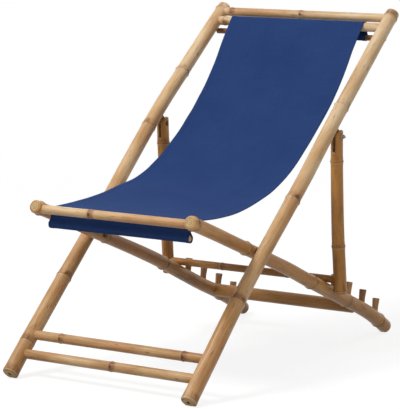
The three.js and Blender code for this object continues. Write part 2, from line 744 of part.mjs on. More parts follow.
const headDowelHeight = nearestHead - headDowelRadius - fitGap;
const headSleeve = sideView(framePoint(backFrame, headSleeveStation, headDowelHeight));
headSleeve.y += dowelDrop(headDowelRadius);

function onWrap(centre, angle) {
  const along = new THREE.Vector2(Math.cos(angle), Math.sin(angle));
  return along.multiplyScalar(wrapRadius).add(centre);
}

const spanStart = onWrap(frontRailCentre, frontLeaveAngle + Math.PI / 2);
const spanEnd = onWrap(headRailCentre, headArriveAngle + Math.PI / 2);
const spanLength = spanStart.distanceTo(spanEnd);
const spanAlong = spanEnd.clone().sub(spanStart).normalize();
const spanUp = new THREE.Vector2(-spanAlong.y, spanAlong.x);
const toHeadSleeve = headSleeve.clone().sub(headRailCentre);
const headLeave = Math.atan2(toHeadSleeve.y, toHeadSleeve.x)
  + Math.acos(wrapRadius / toHeadSleeve.length());

function sagAt(share, across) {
  const left = valueAt(leftSagShares, share);
  const right = valueAt(rightSagShares, share);
  const middle = middleSagShare * Math.sin(Math.PI * share) * (1 - across * across);
  return spanLength * ((left * (1 + across) + right * (1 - across)) / 2 + middle);
}

const middleLine = [];
middleLine.push(new THREE.Vector2(frontSleeve.x, frontSleeve.y + sleeveOuter));
for (let i = 0; i <= wrapSteps; i += 1) {
  const share = i / wrapSteps;
  middleLine.push(onWrap(frontRailCentre, Math.PI + (frontLeaveAngle - Math.PI / 2) * share));
}
for (let i = 1; i < spanSteps; i += 1) {
  const share = i / spanSteps;
  middleLine.push(spanStart.clone().addScaledVector(spanAlong, spanLength * share)
    .addScaledVector(spanUp, -sagAt(share, 0)));
}
for (let i = 0; i <= wrapSteps; i += 1) {
  const share = i / wrapSteps;
  const arrive = headArriveAngle + Math.PI / 2;
  middleLine.push(onWrap(headRailCentre, arrive + (headLeave - arrive) * share));
}
const headSeam = headSleeve.clone().sub(middleLine[middleLine.length - 1]);
middleLine.push(headSleeve.clone().addScaledVector(headSeam.clone().normalize(), -sleeveOuter));

// The outline of the cloth: both faces of the middle line, and round each sleeve
function facePoint(index, way) {
  const before = middleLine[Math.max(index - 1, 0)];
  const after = middleLine[Math.min(index + 1, middleLine.length - 1)];
  const along = after.clone().sub(before).normalize();
  const across = new THREE.Vector2(-along.y, along.x);
  return middleLine[index].clone().addScaledVector(across, way * halfCanvas);
}

function sleeveArc(centre, seamAngle) {
  const seam = Math.asin(halfCanvas / sleeveOuter);
  const arc = [];
  for (let i = 0; i <= sleeveSteps; i += 1) {
    const turn = seamAngle - seam - (2 * (Math.PI - seam) * i) / sleeveSteps;
    arc.push(new THREE.Vector2(Math.cos(turn), Math.sin(turn)).multiplyScalar(sleeveOuter).add(centre));
  }
  return arc;
}

const upperFace = middleLine.slice(1, -1).map((_, i) => facePoint(i + 1, 1));
const lowerFace = middleLine.slice(1, -1).map((_, i) => facePoint(i + 1, -1)).reverse();
const frontArc = sleeveArc(frontSleeve, Math.PI / 2);
const headArc = sleeveArc(headSleeve, Math.atan2(-headSeam.y, -headSeam.x));
const clothOutline = new THREE.Shape([...frontArc, ...upperFace, ...headArc, ...lowerFace]);
for (const centre of [frontSleeve, headSleeve]) {
  const hole = new THREE.Path();
  hole.absarc(centre.x, centre.y, sleeveInner, 0, 2 * Math.PI, false);
  clothOutline.holes.push(hole);
}
const cloth = new THREE.ExtrudeGeometry(clothOutline, {
  depth: 2 * canvasHalfWidth, steps: canvasWidthSteps, bevelEnabled: false,
  curveSegments: sleeveSteps / 2,
});
cloth.applyMatrix4(outlineToFrame);
cloth.translate(-canvasHalfWidth, 0, 0);

// The far edge hangs a little higher than the near one at the seat, and the middle hangs deepest
const clothPlace = cloth.getAttribute('position');
for (let i = 0; i < clothPlace.count; i += 1) {
  const point = new THREE.Vector2(clothPlace.getY(i), clothPlace.getZ(i));
  const share = point.clone().sub(spanStart).dot(spanAlong) / spanLength;
  const across = clothPlace.getX(i) / canvasHalfWidth;
  if (share > 0 && share < 1) {
    const drop = sagAt(share, across) - sagAt(share, 0);
    clothPlace.setY(i, point.x - spanUp.x * drop);
    clothPlace.setZ(i, point.y - spanUp.y * drop);
  }
}
addMesh(sling, 'canvas', geometryOf(solidOf(cloth)), navyCanvas);

// Dowels inside the sleeves, each lying on the bottom of its sleeve
function addDowel(group, name, sleeve, radius, halfLength) {
  const rows = [
    [-halfLength, 0], [-halfLength, radius - pegChamfer], [pegChamfer - halfLength, radius],
    [halfLength - pegChamfer, radius], [halfLength, radius - pegChamfer], [halfLength, 0],
  ];
  const dowel = turnedAlongX(rows, 1, sleeve.x, sleeve.y - dowelDrop(radius), railSides);
  addMesh(group, name, dowel, dowelWood);
}

addDowel(sling, 'front_dowel', frontSleeve, frontDowelRadius, canvasHalfWidth + fitGap);
addDowel(sling, 'head_dowel', headSleeve, headDowelRadius, headDowelHalfLength);

// The origin goes to the middle of the footprint on the floor
recliner.updateMatrixWorld(true);
const bounds = new THREE.Box3().setFromObject(recliner, true);
const footprint = bounds.getCenter(new THREE.Vector3());
recliner.position.set(-footprint.x, -footprint.y, 0);
recliner.updateMatrixWorld(true);

export default recliner;
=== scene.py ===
import math

import bmesh
import bpy
from mathutils import Matrix, Vector, noise


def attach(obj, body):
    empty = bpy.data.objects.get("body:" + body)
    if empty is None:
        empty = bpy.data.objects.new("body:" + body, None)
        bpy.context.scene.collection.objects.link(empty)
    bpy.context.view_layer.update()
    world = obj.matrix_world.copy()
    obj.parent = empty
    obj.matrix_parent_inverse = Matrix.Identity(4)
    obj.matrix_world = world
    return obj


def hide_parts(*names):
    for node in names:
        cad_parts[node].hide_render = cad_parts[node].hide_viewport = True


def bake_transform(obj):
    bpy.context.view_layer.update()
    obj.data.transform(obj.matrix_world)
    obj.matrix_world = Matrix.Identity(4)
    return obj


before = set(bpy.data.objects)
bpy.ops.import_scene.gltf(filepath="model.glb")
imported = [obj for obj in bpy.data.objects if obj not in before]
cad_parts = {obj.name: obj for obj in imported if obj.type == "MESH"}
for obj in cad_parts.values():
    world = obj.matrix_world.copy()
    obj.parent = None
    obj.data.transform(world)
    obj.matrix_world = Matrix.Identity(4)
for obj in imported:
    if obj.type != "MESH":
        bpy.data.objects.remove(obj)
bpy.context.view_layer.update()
scene = bpy.context.scene

# Studio
# The camera stands in front of the recliner, to the sitter's left, and looks slightly down on it.
# A wide soft key lamp, two weaker ones and a pale surround light it on a plain pale floor.
IMAGE_WIDTH = 400
FOCAL_PIXELS = 2215.66
SENSOR_WIDTH = 36.0
CAMERA_PLACE = Vector((3.261907, -5.021701, 1.309386))
CAMERA_YAW = 0.581832
CAMERA_PITCH = 0.147645
CAMERA_ROLL = 0.002456
FLOOR_SIZE = 60.0
FLOOR_BOUNCE = (0.4, 0.39, 0.38, 1.0)
FLOOR_SEEN = (0.26, 0.26, 0.26, 1.0)
FLOOR_GLOW = 0.82
FLOOR_NEAR = 1.2
FLOOR_FAR = 4.5
FLOOR_DROP = 0.0004
SURROUND = (1.0, 1.0, 1.0, 1.0)
SURROUND_LIGHT = 0.4
LAMPS = {
    "key_lamp": ((-1.7, -2.5, 4.4), 1.8, 150, (1.0, 0.985, 0.965)),
    "fill_lamp": ((3.6, -2.6, 1.9), 2.6, 24, (0.97, 0.985, 1.0)),
    "back_lamp": ((0.8, 3.6, 3.0), 2.4, 16, (1.0, 1.0, 1.0)),
}
LAMP_AIM = Vector((0, 0, 0.45))


def put_in_scene(name, data):
    placed = bpy.data.objects.new(name, data)
    scene.collection.objects.link(placed)
    return placed


forward = Vector((
    -math.sin(CAMERA_YAW) * math.cos(CAMERA_PITCH),
    math.cos(CAMERA_YAW) * math.cos(CAMERA_PITCH),
    -math.sin(CAMERA_PITCH),
))
level = Vector((math.cos(CAMERA_YAW), math.sin(CAMERA_YAW), 0))
above = level.cross(forward)
camera_right = level * math.cos(CAMERA_ROLL) + above * math.sin(CAMERA_ROLL)
camera_up = above * math.cos(CAMERA_ROLL) - level * math.sin(CAMERA_ROLL)
camera_turn = Matrix((camera_right, camera_up, -forward)).transposed()
camera_data = bpy.data.cameras.new("camera")
camera_data.sensor_fit = "HORIZONTAL"
camera_data.sensor_width = SENSOR_WIDTH
camera_data.lens = FOCAL_PIXELS * SENSOR_WIDTH / IMAGE_WIDTH
camera_data.clip_end = 2 * FLOOR_SIZE
camera = put_in_scene("camera", camera_data)
camera.matrix_world = Matrix.Translation(CAMERA_PLACE) @ camera_turn.to_4x4()
scene.camera = camera
scene.view_settings.view_transform = "Standard"

for lamp_name, (place, size, watts, colour) in LAMPS.items():
    lamp_data = bpy.data.lights.new(lamp_name, "AREA")
    lamp_data.shape = "DISK"
    lamp_data.size = size
    lamp_data.energy = watts
    lamp_data.color = colour
    lamp = put_in_scene(lamp_name, lamp_data)
    lamp.location = place
    lamp.rotation_euler = (LAMP_AIM - Vector(place)).to_track_quat("-Z", "Y").to_euler()


def plug(tree, node, sockets):
    """Gives each socket its plain value or the output that feeds it."""
    for key, source in sockets.items():
        socket = node.inputs[key]
        if isinstance(source, bpy.types.NodeSocket):
            tree.links.new(source, socket)
        else:
            socket.default_value = source


def add(tree, kind, sockets=None, **settings):
    node = tree.nodes.new("ShaderNode" + kind)
    for key, value in settings.items():
        setattr(node, key, value)
    plug(tree, node, sockets or {})
    return node


def maths(tree, operation, first, second=0.0, third=0.0):
    return add(tree, "Math", {0: first, 1: second, 2: third}, operation=operation).outputs[0]


def times(tree, first, second):
    return maths(tree, "MULTIPLY", first, second)


def fade(tree, value, low, high, to_low, to_high):
    sockets = {"Value": value, "From Min": low, "From Max": high, "To Min": to_low, "To Max": to_high}
    return add(tree, "MapRange", sockets, interpolation_type="SMOOTHSTEP").outputs[0]


def seen_ray(tree):
    """1 for rays that show a surface as it is seen, straight or in a reflection, otherwise 0."""
    path = add(tree, "LightPath").outputs
    seen = maths(tree, "ADD", path["Is Camera Ray"], path["Is Glossy Ray"])
    seen = maths(tree, "ADD", seen, path["Is Transmission Ray"])
    return maths(tree, "MINIMUM", seen, 1.0)


world = bpy.data.worlds.new("surround")
scene.world = world
world.use_nodes = True
tree = world.node_tree
tree.nodes.clear()
lit = add(tree, "Background", {"Color": SURROUND, "Strength": SURROUND_LIGHT})
shown = add(tree, "Background", {"Color": SURROUND, "Strength": 1.0})
mixed = add(tree, "MixShader", {0: seen_ray(tree), 1: lit.outputs[0], 2: shown.outputs[0]})
add(tree, "OutputWorld", {"Surface": mixed.outputs[0]})

floor_material = bpy.data.materials.new("pale_floor")
floor_material.use_nodes = True
tree = floor_material.node_tree
tree.nodes.clear()
bounce = add(tree, "BsdfDiffuse", {"Color": FLOOR_BOUNCE})
matt = add(tree, "BsdfDiffuse", {"Color": FLOOR_SEEN})
glow = add(tree, "Emission", {"Color": SURROUND, "Strength": FLOOR_GLOW})
shown = add(tree, "AddShader", {0: matt.outputs[0], 1: glow.outputs[0]})
white = add(tree, "Emission", {"Color": SURROUND, "Strength": 1.0})
reach = add(tree, "VectorMath", {0: add(tree, "TexCoord").outputs["Object"]}, operation="LENGTH")
distant = fade(tree, reach.outputs["Value"], FLOOR_NEAR, FLOOR_FAR, 0.0, 1.0)
shown = add(tree, "MixShader", {0: distant, 1: shown.outputs[0], 2: white.outputs[0]})
mixed = add(tree, "MixShader", {0: seen_ray(tree), 1: bounce.outputs[0], 2: shown.outputs[0]})
add(tree, "OutputMaterial", {"Surface": mixed.outputs[0]})


def from_build(build, name, materials=()):
    """An object of its own for the shape built so far."""
    mesh = bpy.data.meshes.new(name)
    build.to_mesh(mesh)
    build.free()
    for material in materials:
        mesh.materials.append(material)
    return put_in_scene(name, mesh)


build = bmesh.new()
bmesh.ops.create_grid(build, x_segments=1, y_segments=1, size=FLOOR_SIZE / 2)
floor = from_build(build, "floor", (floor_material,))
floor.location.z = -FLOOR_DROP

# Back culms
# Two long bamboo culms from the front feet to the head, peeled, varnished and sawn square. Each one
# swells at its nodes and keeps its natural bow; the ends are rounded by hand with a rasp.
SIDES = (("left", 1), ("right", -1))
BACK_PLACE = (0, -0.541393, 0.010615)
BACK_SLOPE = math.radians(41.44)
BACK_LENGTH = 1.384
BACK_RADIUS = 0.019
BACK_SPAN = 0.281
BACK_BOWS = {
    "left": (
        (0, -0.0005), (0.05, 0.0016), (0.12, 0.005), (0.19, 0.0084), (0.27, 0.0098), (0.38, 0.0082),
        (0.47, 0.0058), (0.54, 0.0044), (0.6, 0.0053), (0.7, 0.0062), (0.78, 0.0044),
        (0.86, 0.0029), (0.93, 0.0018), (1, 0),
    ),
    "right": (
        (0, 0.001), (0.05, 0.0036), (0.13, 0.0056), (0.22, 0.0074), (0.33, 0.0087), (0.45, 0.0108),
        (0.55, 0.0144), (0.66, 0.0169), (0.72, 0.0159), (0.78, 0.0126), (0.85, 0.0091),
        (0.93, 0.005), (1, 0),
    ),
}
BACK_TAPER = (
    (0, 1.12), (0.2, 1.07), (0.32, 1), (0.38, 1), (0.46, 1.03), (0.6, 1.03), (0.75, 1.02), (1, 0.99),
)
BACK_NODES = {
    "left": (0.0054, 0.228, 0.484, 0.729, 0.986),
    "right": (0.0054, 0.075, 0.236, 0.436, 0.632, 0.792, 0.985),
}
BACK_TINTS = {
    "left": ((0, 0.5), (0.2, 0.56), (0.36, 0.52), (0.48, 0.36), (0.75, 0.26), (1, 0.22)),
    "right": (
        (0, 0.76), (0.1, 0.6), (0.3, 0.46), (0.5, 0.44), (0.62, 0.4), (0.76, 0.38), (1, 0.24),
    ),
}
BACK_SCARS = {
    "left": {1: (1.25, 0.8), 2: (0.95, 1.0)},
    "right": {1: (0.5, 0.5), 2: (0.75, 0.6), 5: (1.35, 0.7)},
}
BACK_SEEDS = {"left": 1.0, "right": 2.0}
BACK_FAINT = {"left": (0,), "right": (0, 1)}
BACK_AGE = 0.3
CULM_SIDES = 40
ROW_PITCH = 0.024
END_ROUNDING = 0.0034
END_STEPS = ((0.0, 1.0), (0.08, 0.62), (0.25, 0.34), (0.5, 0.13), (0.78, 0.03), (1.0, 0.0))
NODE_STEPS = (-1.0, -0.7, -0.48, -0.34, -0.24, -0.16, -0.1, -0.06, -0.03, 0.0, 0.03, 0.06, 0.1,
              0.15, 0.21, 0.28, 0.37, 0.5, 0.68, 0.95)
NODE_CLEAR = 1.05
END_MARGIN = 1.2
OPEN_PITH = (0.0038, 0.007)
CLOSED_PITH = (0.0016, 0.0006)
PITH_STEPS = ((1, 0), (1, 0.8), (1 / 6, 0.93), (0, 1))
WALL_STEPS = (0.03, 0.25, 0.5, 0.75, 0.97)
MERGE_DISTANCE = 0.000001
OVALITY = 0.008
WAVINESS = 0.011
NODE_REACH = 7
NODE_SHAPE = ((0.046, 0, 0.4), (0.022, -0.02, 0.07), (-0.02, 0.2, 0.09))
NODE_CHANGE = 0.25
PLAIN_SWELL = 1.5
FAINT_SHARE = 0.3
GROOVE_DEPTH = 0.028
GROOVE_START = 0.6
GROOVE_TURN = 0.5
BUD_HEIGHT = 0.05
BUD_PLACE = 0.3
BUD_SIZE = 0.24
STAIN_PLACE = 0.2
STAIN_TURN = 0.42
STAIN_LENGTH = 0.34
SAWN_PLAY = 0.00001
CUT_DEPTH = 0.95
CUT_FACING = 0.4
BOW_STEP = 1 / 200
GRAIN_SHIFT = (1.7, -2.3, 0.9)
GRAIN_DEPTH = 0.0004
NODE_FADE = (0.016, 0.024)
BLUSH_BAND = (0.005, 0.003, 0.017)
WAX_BAND = (-0.0046, 0.0006, 0.003)
RING_BAND = (-0.0004, 0.0004, 0.002)


def laid(place, angle, axis):
    """A frame at a place, turned about one axis."""
    return Matrix.Translation(place) @ Matrix.Rotation(angle, 4, axis)


BACK = laid(BACK_PLACE, BACK_SLOPE, "X")


def srgb(red, green, blue):
    def linear(value):
        share = value / 255
        return share / 12.92 if share <= 0.04045 else ((share + 0.055) / 1.055) ** 2.4
    return (linear(red), linear(green), linear(blue), 1.0)


def mix_colour(tree, factor, first, second):
    return add(tree, "Mix", {0: factor, 6: first, 7: second}, data_type="RGBA").outputs[2]


def ramp(tree, factor, stops):
    node = add(tree, "ValToRGB", {"Fac": factor})
    elements = node.color_ramp.elements
    while len(elements) < len(stops):
        elements.new(0.5)
    for element, (place, colour) in zip(elements, stops):
        element.position = place
        element.color = colour
    return node.outputs["Color"]


def near(tree, value, centre, inner, outer, most):
    """A band: most within inner of centre, falling to 0 at outer."""
    reach = maths(tree, "ABSOLUTE", maths(tree, "SUBTRACT", value, centre))
    return fade(tree, reach, inner, outer, most, 0.0)


def nudge(tree, tone, mask, weight):
    """Moves a tone up or down by a mask that runs about one half."""
    return maths(tree, "MULTIPLY_ADD", maths(tree, "SUBTRACT", mask, 0.5), weight, tone)


def make_growth_group():
    """Streaks, fine fibres, patches and flecks that run along a plant's length."""
    group = bpy.data.node_groups.new("plant_growth", "ShaderNodeTree")
    group.interface.new_socket("Place", in_out="INPUT", socket_type="NodeSocketVector")
    group.interface.new_socket("Fineness", in_out="INPUT", socket_type="NodeSocketFloat")
    start = group.nodes.new("NodeGroupInput").outputs
    end = group.nodes.new("NodeGroupOutput")
    for name, squeeze, scale, detail in (
        ("Streak", 0.035, 260, 4), ("Fibre", 0.012, 1300, 2), ("Patch", 0.3, 24, 3),
        ("Cloud", 0.5, 7, 2), ("Fleck", 0.16, 150, 3),
    ):
        group.interface.new_socket(name, in_out="OUTPUT", socket_type="NodeSocketFloat")
        drawn = add(group, "Mapping", {"Vector": start["Place"], "Scale": (1, 1, squeeze)})
        fine = times(group, start["Fineness"], scale)
        sockets = {"Vector": drawn.outputs[0], "Scale": fine, "Detail": detail, "Roughness": 0.58}
        pattern = add(group, "TexNoise", sockets).outputs["Fac"]
        group.links.new(pattern, end.inputs[name])
    return group


growth_group = make_growth_group()


def growth(tree, fineness):
    place = add(tree, "Attribute", attribute_name="grain").outputs["Vector"]
    sockets = {"Place": place, "Fineness": fineness}
    return add(tree, "Group", sockets, node_tree=growth_group).outputs


def value_of(tree, name):
    return add(tree, "Attribute", attribute_name=name).outputs["Fac"]


def new_material(name):
    material = bpy.data.materials.new(name)
    material.use_nodes = True
    return material, material.node_tree, material.node_tree.nodes["Principled BSDF"]


def raise_surface(tree, shader, height, strength, distance):
    bump = add(tree, "Bump", {"Height": height, "Strength": strength, "Distance": distance})
    plug(tree, shader, {"Normal": bump.outputs[0]})


bamboo_skin, tree, shader = new_material("bamboo_skin")
grown = growth(tree, 1.0)
gap = value_of(tree, "node_gap")
at_node = fade(tree, value_of(tree, "node_reach"), *NODE_FADE, 1.0, 0.0)
tone = nudge(tree, value_of(tree, "tint"), grown["Patch"], 0.95)
tone = nudge(tree, tone, grown["Streak"], 0.55)
tone = nudge(tree, tone, grown["Cloud"], 0.5)
tone = nudge(tree, tone, grown["Fibre"], 0.2)
colour = ramp(tree, tone, (
    (0.0, srgb(240, 222, 194)), (0.25, srgb(224, 196, 157)), (0.5, srgb(205, 166, 120)),
    (0.75, srgb(168, 124, 78)), (1.0, srgb(120, 82, 50)),
))
amber = ramp(tree, tone, (
    (0.0, srgb(228, 182, 118)), (0.25, srgb(212, 160, 94)), (0.5, srgb(198, 141, 76)),
    (0.75, srgb(178, 124, 62)), (1.0, srgb(126, 80, 40)),
))
colour = mix_colour(tree, value_of(tree, "age"), colour, amber)
ruddy = fade(tree, grown["Cloud"], 0.5, 0.68, 0.0, 0.45)
colour = mix_colour(tree, ruddy, colour, srgb(182, 122, 74))
flecks = fade(tree, grown["Fleck"], 0.6, 0.72, 0.0, 0.6)
colour = mix_colour(tree, flecks, colour, srgb(118, 78, 44))
blush = times(tree, near(tree, gap, *BLUSH_BAND, 0.8), at_node)
blush = times(tree, blush, fade(tree, grown["Patch"], 0.38, 0.56, 0.05, 1.0))
colour = mix_colour(tree, blush, colour, srgb(140, 92, 52))
wax = times(tree, near(tree, gap, *WAX_BAND, 0.25), at_node)
colour = mix_colour(tree, wax, colour, srgb(226, 200, 160))
broken = fade(tree, grown["Fleck"], 0.3, 0.55, 0.3, 0.95)
ring = times(tree, near(tree, gap, *RING_BAND, 1.0), broken)
ring = times(tree, ring, at_node)
colour = mix_colour(tree, times(tree, ring, 0.4), colour, srgb(122, 80, 46))
bud = fade(tree, value_of(tree, "scar"), 0.2, 0.75, 0.0, 0.92)
bud = times(tree, bud, fade(tree, grown["Patch"], 0.3, 0.5, 0.45, 1.0))
colour = mix_colour(tree, bud, colour, srgb(104, 62, 34))
rough = maths(tree, "MULTIPLY_ADD", grown["Streak"], 0.24, 0.28)
rough = maths(tree, "MULTIPLY_ADD", ring, 0.2, rough)
plug(tree, shader, {
    "Base Color": colour, "Roughness": rough, "Specular IOR Level": 0.26, "Coat Weight": 0.05,
    "Coat Roughness": 0.3,
})
relief = maths(tree, "MULTIPLY_ADD", grown["Streak"], 0.6, grown["Fibre"])
relief = maths(tree, "MULTIPLY_ADD", ring, -0.7, relief)
raise_surface(tree, shader, relief, 0.35, GRAIN_DEPTH)

bamboo_cut, tree, shader = new_material("bamboo_cut")
grown = growth(tree, 1.0)
rim = value_of(tree, "rim")
place = add(tree, "Attribute", attribute_name="grain").outputs["Vector"]
bundles = add(tree, "Mapping", {"Vector": place, "Scale": (1, 1, 0.05)}).outputs[0]
bundles = add(tree, "TexVoronoi", {"Vector": bundles, "Scale": 780.0}).outputs["Distance"]
colour = ramp(tree, grown["Fleck"], (
    (0.3, srgb(222, 196, 148)), (0.6, srgb(200, 166, 114)), (0.8, srgb(160, 120, 74)),
))
dot = maths(tree, "LESS_THAN", bundles, fade(tree, rim, 0.2, 1.0, 0.16, 0.46))
colour = mix_colour(tree, times(tree, dot, 0.5), colour, srgb(140, 98, 56))
heart = times(tree, near(tree, rim, 0.42, 0.02, 0.16, 0.8), grown["Patch"])
colour = mix_colour(tree, heart, colour, srgb(126, 86, 46))
colour = mix_colour(tree, fade(tree, rim, 0.82, 0.98, 0.0, 0.75), colour, srgb(140, 98, 58))
# Painted shade: the walls of the pith hollow go near black, standing in for the shade inside the hole.
colour = mix_colour(tree, value_of(tree, "pith"), colour, srgb(52, 32, 18))
plug(tree, shader, {"Base Color": colour, "Roughness": 0.72})
relief = maths(tree, "MULTIPLY_ADD", dot, -0.5, grown["Fleck"])
raise_surface(tree, shader, relief, 0.4, GRAIN_DEPTH)


def value_at(table, share):
    """A smooth curve through a table of share and value."""
    last = len(table) - 1
    held = min(max(share, table[0][0]), table[last][0])
    row = 0
    while row < last - 1 and held > table[row + 1][0]:
        row += 1

    def slope_at(index):
        before = table[max(index - 1, 0)]
        after = table[min(index + 1, last)]
        return (after[1] - before[1]) / (after[0] - before[0])

    width = table[row + 1][0] - table[row][0]
    t = (held - table[row][0]) / width
    ease = t * t * (3 - 2 * t)
    bend = width * (slope_at(row) * t * (1 - t) ** 2 + slope_at(row + 1) * t * t * (t - 1))
    return table[row][1] * (1 - ease) + table[row + 1][1] * ease + bend


def turned(rows, sides):
    """A closed piece of rows of station and radius, spun about the Y axis."""
    build = bmesh.new()
    points = [build.verts.new((0, station, radius)) for station, radius in rows]
    edges = [build.edges.new(pair) for pair in zip(points, points[1:])]
    bmesh.ops.spin(
        build, geom=points + edges, cent=(0, 0, 0), axis=(0, 1, 0), angle=2 * math.pi, steps=sides,
        use_merge=True,
    )
    bmesh.ops.remove_doubles(build, verts=build.verts, dist=MERGE_DISTANCE)
    bmesh.ops.recalc_face_normals(build, faces=build.faces)
    return build


def finished_mesh(piece):
    """A mesh of the piece with its modifiers worked in."""
    bpy.context.view_layer.update()
    graph = bpy.context.evaluated_depsgraph_get()
    return bpy.data.meshes.new_from_object(piece.evaluated_get(graph))


def carved(build, cutters):
    """The piece with each cutter's shape sawn or drilled out of it."""
    piece = from_build(build, "blank")
    tools = [from_build(cutter, "cutter") for cutter in cutters]
    for tool in tools:
        cut = piece.modifiers.new("cut", "BOOLEAN")
        cut.operation = "DIFFERENCE"
        cut.solver = "EXACT"
        cut.object = tool
    fresh = bmesh.new()
    fresh.from_mesh(finished_mesh(piece))
    for used in (piece, *tools):
        bpy.data.objects.remove(used)
    return fresh


def place_piece(build, name, materials, body, node_name):
    piece = from_build(build, name, materials)
    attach(piece, body)
    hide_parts(node_name)


def culm_rows(length, radius, nodes, pith, rounding):
    """Rows of station and radius: close ones at each node and end, and the sawn faces."""
    stations = {node + radius * step for node in nodes for step in NODE_STEPS}
    count = round(length / ROW_PITCH)
    for i in range(1, count):
        station = i * length / count
        if all(abs(station - node) > NODE_CLEAR * radius for node in nodes):
            stations.add(station)
    margin = END_MARGIN * rounding
    middle = [(s, radius) for s in sorted(stations) if margin < s < length - margin]
    low = [(rounding * along, radius - rounding * inward) for along, inward in END_STEPS]
    high = [(length - station, size) for station, size in reversed(low)]
    if not pith:
        return [(0, 0), *low, *middle, *high, (length, 0)]
    face = radius - rounding
    size, depth = pith
    hole = [(depth * deep, size * wide) for deep, wide in PITH_STEPS]
    wall = [(0, face + (size - face) * share) for share in reversed(WALL_STEPS)]
    first = [*hole, *wall]
    last = [(length - station, size) for station, size in reversed(first)]
    return [*first, *low, *middle, *high, *last]


def turn_between(turn, other):
    """The angle from one turn to another, at most half a turn either way."""
    return (turn - other + math.pi) % (2 * math.pi) - math.pi


def swell_at(station, turn, radius, nodes, seed, swell, faint, scars):
    """How much thicker or thinner than its mean radius the culm is at a point of its skin."""
    shape = 1 + OVALITY * math.cos(2 * turn + seed)
    wave = Vector((0.8 * math.cos(turn), 0.8 * math.sin(turn), 9 * station + 7 * seed))
    shape += WAVINESS * noise.noise(wave)
    for i, node in enumerate(nodes):
        step = (station - node) / radius
        if abs(step) > NODE_REACH:
            continue
        strength = swell * (1 + NODE_CHANGE * noise.noise(Vector((seed, 3.1 * i, 0.5))))
        if i in faint:
            strength *= FAINT_SHARE
        for height, place, width in NODE_SHAPE:
            shape += height * strength * math.exp(-((step - place) / width) ** 2)
        side = turn_between(turn, 2.4 * seed + math.pi * i)
        if step > 0:
            depth = GROOVE_DEPTH * min(step / GROOVE_START, 1) * (1 - step / NODE_REACH)
            shape -= depth * math.exp(-(side / GROOVE_TURN) ** 2)
    for index, (place, strength) in scars.items():
        side = turn_between(turn, place) / BUD_SIZE
        step = ((station - nodes[index]) / radius - BUD_PLACE) / BUD_SIZE
        shape += BUD_HEIGHT * strength * math.exp(-side ** 2 - step ** 2)
    return shape


def make_culm(name, node_name, matrix, bow, length, radius, node_shares, seed, tints, body,
              taper, age, scars={}, pith=OPEN_PITH, rounding=END_ROUNDING, swell=PLAIN_SWELL,
              faint=(), cutters=()):
    """A culm turned along Y, sawn where the cutters say, then swollen, bowed and put in place."""
    nodes = [share * length for share in node_shares]
    build = turned(culm_rows(length, radius, nodes, pith, rounding), CULM_SIDES)
    if cutters:
        build = carved(build, cutters)
    grain_layer = build.verts.layers.float_vector.new("grain")
    keys = ("tint", "age", "node_gap", "node_reach", "scar", "rim", "pith")
    layers = {key: build.verts.layers.float.new(key) for key in keys}
    sawn = radius - rounding + SAWN_PLAY
    hollow = pith[0] if pith else 0.0
    # How strongly the pith hollow is painted dark: full painted shade in the open holes, and half of it
    # in the closed ends' shallow dimple, where it makes a dark centre spot.
    darkness = 1.0 if pith == OPEN_PITH else 0.5
    for face in build.faces:
        middle = face.calc_center_median()
        reach = math.hypot(middle.x, middle.z)
        sawn_off = all(math.hypot(vertex.co.x, vertex.co.z) < sawn for vertex in face.verts)
        if 2 * rounding < middle.y < length - 2 * rounding:
            outward = (face.normal.x * middle.x + face.normal.z * middle.z) / max(reach, 0.0001)
            sawn_off = reach < CUT_DEPTH * radius or outward < CUT_FACING
        face.material_index = int(sawn_off)
        face.smooth = not sawn_off
    step = length * BOW_STEP
    for vertex in build.verts:
        station = vertex.co.y
        turn = math.atan2(vertex.co.x, vertex.co.z)
        plain = math.hypot(vertex.co.x, vertex.co.z)
        reach = plain * swell_at(station, turn, radius, nodes, seed, swell, faint, scars)
        reach *= value_at(taper, station / length)
        nearest = min(nodes, key=lambda node: abs(station - node)) if nodes else -1.0
        scar = 0.0
        for index, (place, strength) in scars.items():
            side = turn_between(turn, place) / STAIN_TURN
            rise = ((station - nodes[index]) / radius - STAIN_PLACE) / STAIN_LENGTH
            scar += strength * math.exp(-side ** 2 - rise ** 2)
        out = reach * math.sin(turn)
        up = reach * math.cos(turn)
        place = zip((out, up, station), GRAIN_SHIFT)
        vertex[grain_layer] = [part + shift * seed for part, shift in place]
        vertex[layers["node_gap"]] = station - nearest
        vertex[layers["node_reach"]] = abs(station - nearest)
        vertex[layers["scar"]] = scar
        vertex[layers["tint"]] = value_at(tints, station / length)
        vertex[layers["age"]] = age
        vertex[layers["rim"]] = plain / sawn
        vertex[layers["pith"]] = darkness if plain < 1.01 * hollow else 0.0
        height = length * value_at(bow, station / length)
        ahead = length * value_at(bow, (station + step) / length)
        behind = length * value_at(bow, (station - step) / length)
        tilt = math.atan((ahead - behind) / (2 * step))
        spot = matrix @ Vector((out, station - up * math.sin(tilt), height + up * math.cos(tilt)))
        spot.z = max(spot.z, 0.0)
        vertex.co = spot
    bmesh.ops.recalc_face_normals(build, faces=build.faces)
    place_piece(build, name, (bamboo_skin, bamboo_cut), body, node_name)


for word, sign in SIDES:
    make_culm(
        f"back_culm_{word}", f"back_pole_{word}", BACK @ Matrix.Translation((sign * BACK_SPAN, 0, 0)),
        BACK_BOWS[word], BACK_LENGTH, BACK_RADIUS, BACK_NODES[word], BACK_SEEDS[word],
        BACK_TINTS[word], "main_frame", BACK_TAPER, BACK_AGE,
        scars=BACK_SCARS[word], faint=BACK_FAINT[word],
    )

